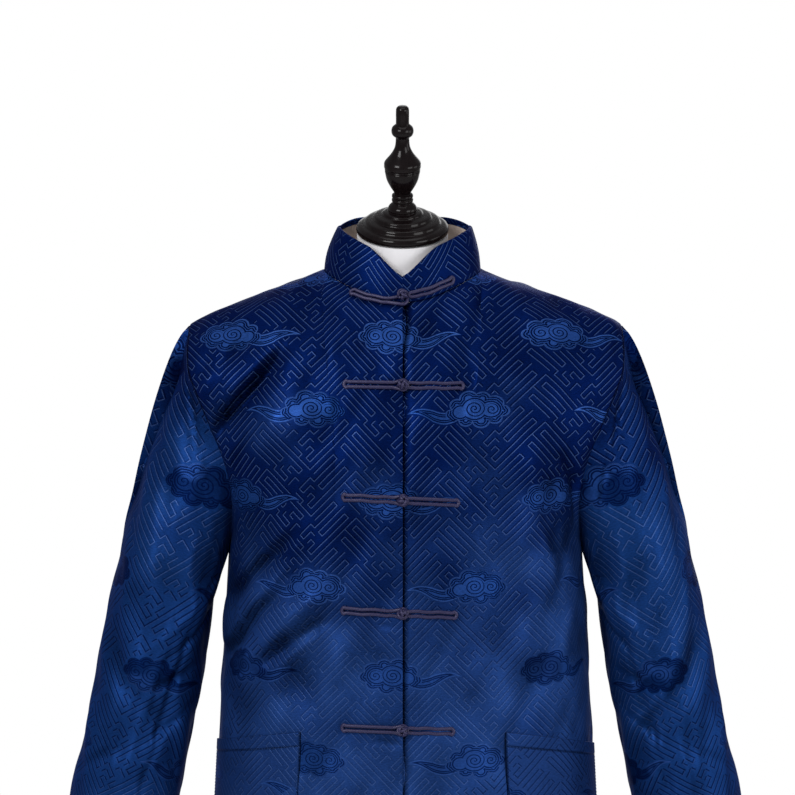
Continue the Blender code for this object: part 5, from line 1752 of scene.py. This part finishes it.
def fret(finish, u, v):
    """The lines of the fret and the painted shadows beside them, at flat places in metres."""
    turn = sqrt(0.5) / FRET_STEP
    a = (u + v) * turn
    b = (v - u) * turn
    near_a, near_b = (a + 0.5).floor(), (b + 0.5).floor()
    up = charted(finish, upright, near_a, b.floor())
    flat = charted(finish, level, a.floor(), near_b)
    drawn = []
    for middle, width in ((0.0, FRET_LINE), (SHADOW_SIDE, SHADOW_WIDTH)):
        on_up = up * (1 - (a - near_a - middle).size().fade(width, width + FRET_SOFT))
        on_flat = flat * (1 - (b - near_b - middle).size().fade(width, width + FRET_SOFT))
        drawn.append(on_up.most(on_flat))
    return drawn


# %% [markdown]
# ## Clouds
#
# Over the fret float clouds, in rows that are offset like bricks, and every
# other row faces the other way. A cloud is a few circles run together: the
# distance to the nearest circle's edge gives its scalloped outline, and the same
# distance a little further in gives the lines inside it. In each of the two
# largest circles a line winds out of the middle, and behind the cloud trails a
# wavy tail that ends in a point. One row lies darker than the others, in
# painted shade.

# %% Clouds
CLOUD_ACROSS = 0.168
CLOUD_UP = 0.0904
CLOUD_FIRST_ROW = 0.0417
CLOUD_ASIDE = 0.010
DARK_CLOUD_ROW = 3.0
LEVEL_ROWS = 6.0
TOP_ROW_DROP = 0.012
CLOUD_WIDTH = 1.30
CLOUD_HEIGHT = 1.06
Puff = namedtuple("Puff", "x y radius")
CORE_PUFFS = (
    Puff(0.0000, 0.0000, 0.0118), Puff(0.0130, -0.0006, 0.0092), Puff(-0.0112, -0.0024, 0.0078),
)
RIM_PUFFS = (
    Puff(-0.0186, -0.0046, 0.0048), Puff(-0.0140, 0.0044, 0.0058), Puff(-0.0046, 0.0100, 0.0074),
    Puff(0.0068, 0.0098, 0.0062), Puff(0.0160, 0.0052, 0.0070), Puff(0.0222, -0.0020, 0.0052),
    Puff(0.0160, -0.0086, 0.0056), Puff(0.0052, -0.0110, 0.0070), Puff(-0.0070, -0.0106, 0.0056),
)
CURLS = (Puff(0.0002, 0.0002, 0.0084), Puff(0.0138, -0.0006, 0.0058))
CURL_STEP = 0.0031
CURL_LINE = (0.10, 0.22)
CURL_EDGE = 0.0006
TAIL_START = -0.012
TAIL_END = -0.054
TAIL_WAVE = 0.046
TAIL_BEND = 0.0040
TAIL_DROP = 0.0040
TAIL_TAPER = 0.26
TAIL_HALF = 0.0054
TAIL_CONTOURS = (-0.0018, -0.0036)
INNER_CORE = 0.0020
INNER_RIM = 0.0019
INNER_CONTOUR = -0.0019
CORE_CONTOUR = -0.0018
OUTLINE = -0.0001
LINE_WIDTH = 0.0004


def cloud_cell(finish, u, v):
    """A place's own x and y in its cloud, and the cloud's chance and painted shade."""
    row = ((v - CLOUD_FIRST_ROW) / CLOUD_UP + 0.5).floor()
    odd = (row + 1) % 2.0
    u = u + odd * CLOUD_ACROSS / 2 + CLOUD_ASIDE
    column = (u / CLOUD_ACROSS + 0.5).floor()
    x = (u - column * CLOUD_ACROSS) * (odd * 2.0 - 1.0)
    y = v - row * CLOUD_UP - CLOUD_FIRST_ROW + (row - LEVEL_ROWS).most(0.0) * TOP_ROW_DROP
    cell = {"Vector": finish.join(column, row)}
    chance = finish.node("ShaderNodeTexWhiteNoise", {"noise_dimensions": "2D"}, cell)
    # Painted shade: one row of clouds, all but its middle column, is drawn as satin turned away
    # from the light.
    dark = (1 - (row - DARK_CLOUD_ROW).size().fade(0.2, 0.4)) * column.size().fade(0.3, 0.6)
    return x / CLOUD_WIDTH, y / CLOUD_HEIGHT, chance, dark


def nearest_edge(finish, here, puffs):
    """How far a place is outside the nearest of some circles."""
    edge = None
    for puff in puffs:
        ends = {0: here, 1: (puff.x, puff.y, 0)}
        away = finish.node("ShaderNodeVectorMath", {"operation": "DISTANCE"}, ends, 1)
        away = away - puff.radius
        edge = away if edge is None else edge.least(away)
    return edge


def cloud(finish, u, v):
    """How far a place is outside a cloud, its inner lines, its chance and darkness."""
    x, y, chance, dark = cloud_cell(finish, u, v)
    here = finish.join(x, y)
    middle = ((x - TAIL_START) * (2 * pi / TAIL_WAVE)).sine() * TAIL_BEND - TAIL_DROP
    half = ((x - TAIL_END) * TAIL_TAPER).least(TAIL_HALF)
    tail = ((y - middle).size() - half).most(x - TAIL_START).most(TAIL_END - x)
    core = nearest_edge(finish, here, CORE_PUFFS)
    rim = nearest_edge(finish, here, RIM_PUFFS)
    body = core.least(rim)
    inner = (core - INNER_CORE).least(rim + INNER_RIM)
    lines = drawn_at(inner, 0.0)
    for edge, distance in ((inner, INNER_CONTOUR), (core, CORE_CONTOUR)):
        lines = lines.most(drawn_at(edge, distance))
    outer, middle_line = (drawn_at(tail, distance) for distance in TAIL_CONTOURS)
    lines = lines.most(outer.most(middle_line) * body.fade(-0.0006, 0.0))
    for puff in CURLS:
        lines = lines.most(curl(x, y, puff))
    lines = lines.most(drawn_at(body, OUTLINE) * tail.fade(-0.002, 0.0))
    return body.least(tail), lines, chance, dark


def curl(x, y, puff):
    """A line that winds out of a puff's middle."""
    aside, up = x - puff.x, y - puff.y
    away = (aside * aside + up * up).root()
    turn = up.math("ARCTAN2", up, aside) * (0.5 / pi)
    wound = (away * (1 / CURL_STEP) - turn + 1.0) % 1.0
    line = 1 - (wound - 0.5).size().fade(*CURL_LINE)
    return line * (1 - away.fade(puff.radius - CURL_EDGE, puff.radius))


def drawn_at(edge, distance, width=LINE_WIDTH):
    """A line that follows an edge at a distance from it."""
    return 1 - (edge - distance).size().fade(width, width + LINE_WIDTH)


# %% [markdown]
# ## Satin jacquard
#
# In a damask weave the figure and the ground show opposite faces of one satin,
# so which of them looks light depends on how the light strikes. That sheen is
# painted into the colour. On the chest the ground is painted in shade and the
# lines are lighter than it, and lower down the ground is painted in sheen and the
# lines are darker. A soft mask of height and noise, called turned, makes one into
# the other. Lit patches of the turned satin get bright lines again, as painted
# highlights. Each line of the fret has a painted shadow beside it. The clouds are
# painted bright where the light catches them and dark elsewhere, as on the
# sleeves. The painted shading that each point of the cloth carries darkens the
# troughs and seams and lightens the ridges.

# %% Satin
# The colours of the satin. NAVY is the ground in painted shade, and BLUE, SLEEVE_BLUE and
# POCKET_BLUE are the ground in painted sheen. LIGHT_LINE and LIT_LINE are painted highlights on the
# fret lines. DARK_LINE paints the lines' shadows and the shade of dark clouds, and also draws the
# clouds' inner lines. CLOUD_BLUE is a cloud in painted sheen, CLOUD_DIM one in painted shade, and
# CLOUD_EDGE a painted highlight on its outline.
NAVY = (0.0008, 0.0060, 0.0490)
BLUE = (0.0105, 0.0345, 0.136)
SLEEVE_BLUE = (0.0054, 0.0262, 0.114)
POCKET_BLUE = (0.0094, 0.0300, 0.120)
LIGHT_LINE = (0.026, 0.052, 0.150)
LIT_LINE = (0.042, 0.085, 0.230)
DARK_LINE = (0.0002, 0.0026, 0.026)
CLOUD_BLUE = (0.0155, 0.051, 0.210)
CLOUD_DIM = (0.006, 0.026, 0.115)
CLOUD_EDGE = (0.028, 0.070, 0.230)
# The painted sheen turns between these heights, swayed by noise.
TURN_LOW_Z = 0.94
TURN_HIGH_Z = 1.28
TURN_SWAY = 0.75
SHADOW_SHARE = 0.95
LIT_SHADOW_LOSS = 0.75
TURNED_LINE_LOSS = 0.72
TURNED_RING_LOSS = 0.22
SWING_LOSS = 0.8
CHANCE_LOSS = 0.35
EDGE_GLOW = 0.8
# The upper rows of clouds are painted bright, the top row brightest.
UPPER_ROW = (1.30, 1.37)
TOP_ROW = (1.34, 1.38)
TOP_ROW_LIGHT = 1.15
# How far the painted shading darkens troughs and lightens ridges.
TROUGH_SHADE = 0.42
RIDGE_LIGHT = 0.22
CLOUD_GLOSS = 0.7
# How much painted shadow, painted highlight and painted shade each kind of cloud gets.
SatinLook = namedtuple("SatinLook", "shadow_loss lit_line fill_dark")
LIGHT_CLOUDS = SatinLook(shadow_loss=0.32, lit_line=0.42, fill_dark=0.45)
DARK_CLOUDS = SatinLook(shadow_loss=0.12, lit_line=0.52, fill_dark=0.58)


def painted_sheen_share(finish, height, painted_sheen_everywhere, rise):
    """Painted sheen: 0 where the ground is in painted shade and its lines lighter, 1 where it is in
    painted sheen and its lines darker.
    """
    patches = finish.noise(8.0, 2.0)
    if painted_sheen_everywhere:
        return patches * 0.25 + 0.85
    swayed = height + (patches - 0.5) * TURN_SWAY
    return 1 - swayed.fade(TURN_LOW_Z + rise, TURN_HIGH_Z + rise)


def fret_colour(finish, look, turned, ground, lines, shadows):
    """The ground with the fret's painted shadows and its lines, with painted highlights on the
    lines in lit patches.
    """
    lit = finish.noise(5.0, 1.0).fade(0.50, 0.60) * turned
    shaded = (SHADOW_SHARE - turned * look.shadow_loss) * (1 - lit * LIT_SHADOW_LOSS)
    colour = finish.mix(shadows * shaded, ground, DARK_LINE)
    colour = finish.mix(lines * (1 - turned * TURNED_LINE_LOSS), colour, LIGHT_LINE)
    return finish.mix(lines * lit * look.lit_line, colour, LIT_LINE)


def cloud_light(finish, clouds_dark, height, chance, dark):
    """A cloud's painted sheen and painted shade: how much it shines, and how dark it is where it
    doesn't.
    """
    # Painted sheen: a slow noise lets part of a cloud shine and part lie dark, and the upper rows
    # shine.
    swing = finish.noise(26.0, 0.0).fade(0.44, 0.58)
    if clouds_dark:
        return swing * 0.40, 0.95 - swing * 0.75
    dark = dark * (1 - swing * SWING_LOSS)
    bright = finish.noise(9.0, 1.0).fade(0.30, 0.60).most(height.fade(*UPPER_ROW))
    bright = bright * (chance * CHANCE_LOSS + (1 - CHANCE_LOSS)) * (1 - dark)
    return bright.most(height.fade(*TOP_ROW) * TOP_ROW_LIGHT), dark


def cloud_colour(finish, look, turned, ground, rings, bright, dark, speck):
    """A cloud's fill, in painted sheen or painted shade, with the lines inside it."""
    fill = finish.mix(dark, CLOUD_DIM, finish.mix(look.fill_dark, ground, DARK_LINE))
    fill = finish.mix(bright * (speck * 0.5 + 0.6), fill, CLOUD_BLUE)
    return finish.mix(rings * (1 - turned * TURNED_RING_LOSS), fill, DARK_LINE)


def satin(name, painted_sheen_everywhere=False, light_ground=BLUE, clouds_dark=False, rise=0.0):
    """The jacket's satin. rise lifts the height at which its painted sheen turns, in metres."""
    look = DARK_CLOUDS if clouds_dark else LIGHT_CLOUDS
    finish = Finish(name, Metallic=0.45, Specular_IOR_Level=0.02, Specular_Tint=(0.10, 0.22, 0.60))
    u, v, _ = finish.split(finish.node("ShaderNodeUVMap", {"uv_map": "cloth"}, {}))
    height = finish.split(finish.place())[2]
    turned = painted_sheen_share(finish, height, painted_sheen_everywhere, rise)
    ground = finish.mix(turned, NAVY, light_ground)

    lines, shadows = fret(finish, u, v)
    edge, rings, chance, dark = cloud(finish, u, v)
    inside = 1 - edge.fade(-0.0003, 0.0003)
    free = edge.fade(0.0014, 0.0022)
    lines = lines * free
    colour = fret_colour(finish, look, turned, ground, lines, shadows * free)
    bright, dark = cloud_light(finish, clouds_dark, height, chance, dark)
    speck = finish.noise(1500.0, 0.0, vector=finish.join(u, v))
    filled = cloud_colour(finish, look, turned, ground, rings, bright, dark, speck)
    colour = finish.mix(inside, colour, filled)
    # Painted highlight along the outline of a shining cloud.
    colour = finish.mix(drawn_at(edge, -0.0002, 0.0002) * bright * EDGE_GLOW, colour, CLOUD_EDGE)

    weave = finish.noise(900.0, 1.0, vector=finish.join(u * 0.35, v))
    # A slow noise makes the satin's colour and roughness uneven.
    mottle = finish.noise(30.0, 3.0)
    tone = finish.node("ShaderNodeAttribute", {"attribute_name": "tone"}, {}, "Fac")
    # light scales the colour: the weave and a slow noise make it uneven, and the painted shading
    # darkens troughs and seams and lightens ridges.
    light = (weave * 0.6 + mottle * 0.4 - 0.5) * 0.7 + 0.5
    light = light + tone.least(0.0) * TROUGH_SHADE + tone.most(0.0) * RIDGE_LIGHT
    figure = lines.most(inside * (1 - rings) * CLOUD_GLOSS)
    relief = figure * 0.6 + weave * 0.25 + finish.noise(140.0, 2.0) * 0.35
    finish.surface(
        Base_Color=finish.multiplied(colour, finish.mix(light, (0.0, 0.0, 0.0), (2.0, 2.0, 2.0))),
        Roughness=0.46 - figure * 0.06 + (mottle - 0.5) * 0.10,
        Normal=finish.relief(relief, 0.00025, 0.6),
    )
    return finish.material


# The sleeves and pockets get copies of the satin with other painted sheen: the sleeves stay in
# painted sheen higher up and their clouds are in painted shade, and the pockets are in painted
# sheen all over.
satin_cloth = satin("satin")
sleeve_cloth = satin("satin_sleeve", light_ground=SLEEVE_BLUE, clouds_dark=True, rise=0.18)
pocket_cloth = satin("satin_pocket", painted_sheen_everywhere=True, light_ground=POCKET_BLUE)
print("nodes in the satin:", len(satin_cloth.node_tree.nodes))

# %% [markdown]
# ## Lining and knit
#
# The collar's lining and the form's cover are plain cloths without a figure. Two
# crossed sine waves make the over and under of their threads, too fine to count
# from where the camera stands but enough to keep the light soft.

# %% Plain weave


def plain_weave(name, dark, light, threads, roughness, relief):
    """Cloth whose threads go over and under each other."""
    finish = Finish(name, Specular_IOR_Level=0.25)
    x, y, z = finish.split(finish.place())
    warp = ((x + y) * threads).sine()
    weft = (z * threads).sine()
    cells = warp * weft * 0.5 + 0.5
    cloudy = finish.noise(25.0, 3.0)
    finish.surface(
        Base_Color=finish.mix(cells * 0.5 + cloudy * 0.5, dark, light),
        Roughness=roughness + (cloudy - 0.5) * 0.12,
        Normal=finish.relief(cells + finish.noise(400.0, 1.0), relief, 0.5),
    )
    return finish.material


lining_cloth = plain_weave(
    "lining", dark=(0.50, 0.41, 0.35), light=(0.68, 0.58, 0.51),
    threads=5200.0, roughness=0.75, relief=0.0002,
)
form_cloth = plain_weave(
    "form_cloth", dark=(0.69, 0.68, 0.70), light=(0.78, 0.77, 0.79),
    threads=4200.0, roughness=0.80, relief=0.00015,
)

# %% [markdown]
# ## Frog cord
#
# The cord is nearly black, with a blue sheen where its strands catch the light:
# the shader's own blue-tinted reflection, and a lighter colour painted along the
# strands as painted sheen.
# Its UVs run in metres along it and round it, so one sine wave of their sum winds
# round the cord like a strand.

# %% Frog cord


def twisted_cord(name, dark, light, turns):
    """Cord with strands that wind round it, from its own UVs in metres."""
    finish = Finish(name, Specular_IOR_Level=0.42, Specular_Tint=(0.80, 0.76, 1.0))
    u, v, _ = finish.split(finish.node("ShaderNodeUVMap", {"uv_map": "cloth"}, {}))
    strands = ((u + v) * turns).sine() * 0.5 + 0.5
    fuzz = finish.noise(1800.0, 2.0)
    finish.surface(
        # Painted sheen: the strands are coloured lighter and darker as they wind.
        Base_Color=finish.mix(strands * 0.6 + fuzz * 0.4, dark, light),
        Roughness=0.40 + (fuzz - 0.5) * 0.16,
        Normal=finish.relief(strands * 0.6 + fuzz * 0.3, 0.00008, 0.6),
    )
    return finish.material


cord_finish = twisted_cord(
    "frog_cord", dark=(0.0045, 0.0042, 0.018), light=(0.024, 0.022, 0.072), turns=5200.0,
)

# %% [markdown]
# ## Black wood and black paint
#
# The cap is turned wood under black lacquer: a thin coat gives it narrow, clear
# highlights, and a stretched noise gives a hint of grain. The stand is steel with
# a duller black coating, which the photo doesn't show.

# %% Wood and paint


def turned_wood(name):
    """Lacquered black wood, whose grain runs along the lathe's axis."""
    finish = Finish(name, Specular_IOR_Level=0.04, Coat_Weight=0.20, Coat_Roughness=0.09)
    x, y, z = finish.split(finish.place())
    grain = finish.noise(90.0, 4.0, vector=finish.join(x * 3.0, y * 3.0, z * 0.35))
    fine = finish.noise(700.0, 2.0)
    finish.surface(
        Base_Color=finish.mix(grain, (0.0018, 0.0011, 0.0013), (0.0075, 0.0048, 0.0052)),
        Roughness=0.26 + (fine - 0.5) * 0.12,
        Normal=finish.relief(grain * 0.5 + fine * 0.5, 0.00002, 0.4),
    )
    return finish.material


def stand_paint(name):
    """Black powder coating, a little uneven."""
    finish = Finish(name, Metallic=0.3, Specular_IOR_Level=0.5)
    speck = finish.noise(2200.0, 2.0)
    worn = finish.noise(18.0, 4.0)
    uneven = worn * 0.7 + speck * 0.3
    finish.surface(
        Base_Color=finish.mix(uneven, (0.012, 0.012, 0.014), (0.034, 0.034, 0.037)),
        Roughness=0.38 + worn * 0.14,
        Normal=finish.relief(speck, 0.00005, 0.5),
    )
    return finish.material


wood_finish = turned_wood("turned_wood")
paint_finish = stand_paint("stand_paint")

# %% [markdown]
# ## Which piece is which
#
# Every piece rides on the body called root and gets one of the finishes above.
# Each one but the stitches stands for a solid of the frame, which it hides.

# %% Pieces
PIECES = (
    (front_right, "front_right", "satin", satin_cloth),
    (front_left, "front_left", "satin", satin_cloth),
    (back, "back", "satin", satin_cloth),
    (sleeve_right, "sleeve_right", "satin", sleeve_cloth),
    (sleeve_left, "sleeve_left", "satin", sleeve_cloth),
    (underlap_strip, "underlap", "satin", satin_cloth),
    (pocket_right, "pocket_right", "satin", pocket_cloth),
    (pocket_left, "pocket_left", "satin", pocket_cloth),
    (collar, "collar", "satin", satin_cloth),
    (collar_lining, "collar_lining", "lining", lining_cloth),
    (form, "form_torso", "form_cloth", form_cloth),
    (cap, "neck_cap", "turned_wood", wood_finish),
    (pole, "stand_pole", "stand_paint", paint_finish),
    (base, "stand_base", "stand_paint", paint_finish),
)
for piece, node, slot, finish in PIECES:
    piece.data.materials.append(finish)
    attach(piece, "root")
    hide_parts(node)
for piece in frogs:
    piece.data.materials.append(cord_finish)
    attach(piece, "root")
    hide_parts(piece.name.removeprefix("cord_"))
for piece in (stitches_right, stitches_left):
    piece.data.materials.append(satin_cloth)
    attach(piece, "root")

# %% [markdown]

# %% [markdown]
# ## Floor and light
#
# The photo's background is plain white. A pale floor fades to the same white a
# few metres out. Five soft boxes light the form: the main one from the upper
# left, a weaker one from the right, and faint ones from above, from the right
# side and from behind. Only rays from the camera see the full white.

# %% Floor and light
WHITE = (1.0, 1.0, 1.0)
FLOOR_RADIUS = 60.0
FLOOR_SIDES = 64
FLOOR_DROP = 0.0005
FLOOR_FADE_START = 1.5
FLOOR_FADE_END = 4.0
UNSEEN_GLOW = 0.4
WORLD_LIGHT = 0.36
WORLD_TINT = (0.95, 0.97, 1.0)


def floor_finish():
    """A pale floor that glows white far out, more so for the camera."""
    finish = Finish("floor", Roughness=0.8, Specular_IOR_Level=0.1)
    x, y, _ = finish.split(finish.place())
    far = (x * x + y * y).root().fade(FLOOR_FADE_START, FLOOR_FADE_END)
    grain = finish.noise(60.0, 3.0)
    finish.surface(Base_Color=finish.mix(grain, (0.78, 0.78, 0.78), (0.84, 0.84, 0.84)))
    seen = finish.node("ShaderNodeLightPath", {}, {})
    strength = seen * (1 - UNSEEN_GLOW) + UNSEEN_GLOW
    glow = finish.node("ShaderNodeEmission", {}, {"Color": WHITE, "Strength": strength})
    plain = Wire(finish, finish.shader.outputs[0])
    mixed = finish.node("ShaderNodeMixShader", {}, {0: far, 1: plain, 2: glow})
    finish.connect(finish.nodes["Material Output"], {"Surface": mixed})
    return finish.material


floor_turns = 2 * pi * np.arange(FLOOR_SIDES) / FLOOR_SIDES
floor_x, floor_y = FLOOR_RADIUS * np.cos(floor_turns), FLOOR_RADIUS * np.sin(floor_turns)
floor_ring = np.stack([floor_x, floor_y, np.full(FLOOR_SIDES, -FLOOR_DROP)], -1)
floor = mesh_object("floor", floor_ring, [list(range(FLOOR_SIDES))])
floor.data.materials.append(floor_finish())

world = bpy.data.worlds.new("white")
world.use_nodes = True
bpy.context.scene.world = world
links, nodes = world.node_tree.links, world.node_tree.nodes
path = nodes.new("ShaderNodeLightPath")
lit, shown = nodes.new("ShaderNodeBackground"), nodes.new("ShaderNodeBackground")
lit.inputs["Strength"].default_value = WORLD_LIGHT
lit.inputs["Color"].default_value = (*WORLD_TINT, 1.0)
shown.inputs["Color"].default_value = (*WHITE, 1.0)
both = nodes.new("ShaderNodeMixShader")
links.new(path.outputs["Is Camera Ray"], both.inputs[0])
links.new(lit.outputs[0], both.inputs[1])
links.new(shown.outputs[0], both.inputs[2])
links.new(both.outputs[0], nodes["World Output"].inputs["Surface"])

SoftBox = namedtuple("SoftBox", "name place size watts")
SOFT_BOXES = (
    SoftBox("key", (-1.7, -2.6, 2.6), 1.3, 80.0),
    SoftBox("fill", (2.3, -2.2, 1.7), 1.5, 40.0),
    SoftBox("top", (0.0, -0.5, 3.4), 1.6, 16.0),
    SoftBox("side", (2.7, -0.2, 1.5), 1.2, 12.0),
    SoftBox("back", (0.4, 2.8, 1.9), 2.0, 20.0),
)
LIT_POINT = Vector((0.0, 0.0, 1.15))
for box in SOFT_BOXES:
    data = bpy.data.lights.new(box.name, "AREA")
    data.size = box.size
    data.energy = box.watts
    lamp = bpy.data.objects.new(box.name, data)
    bpy.context.scene.collection.objects.link(lamp)
    lamp.location = box.place
    lamp.rotation_euler = (LIT_POINT - Vector(box.place)).to_track_quat("-Z", "Y").to_euler()
bpy.context.scene.view_settings.view_transform = "Standard"
print("soft boxes:", [(box.name, box.watts) for box in SOFT_BOXES])
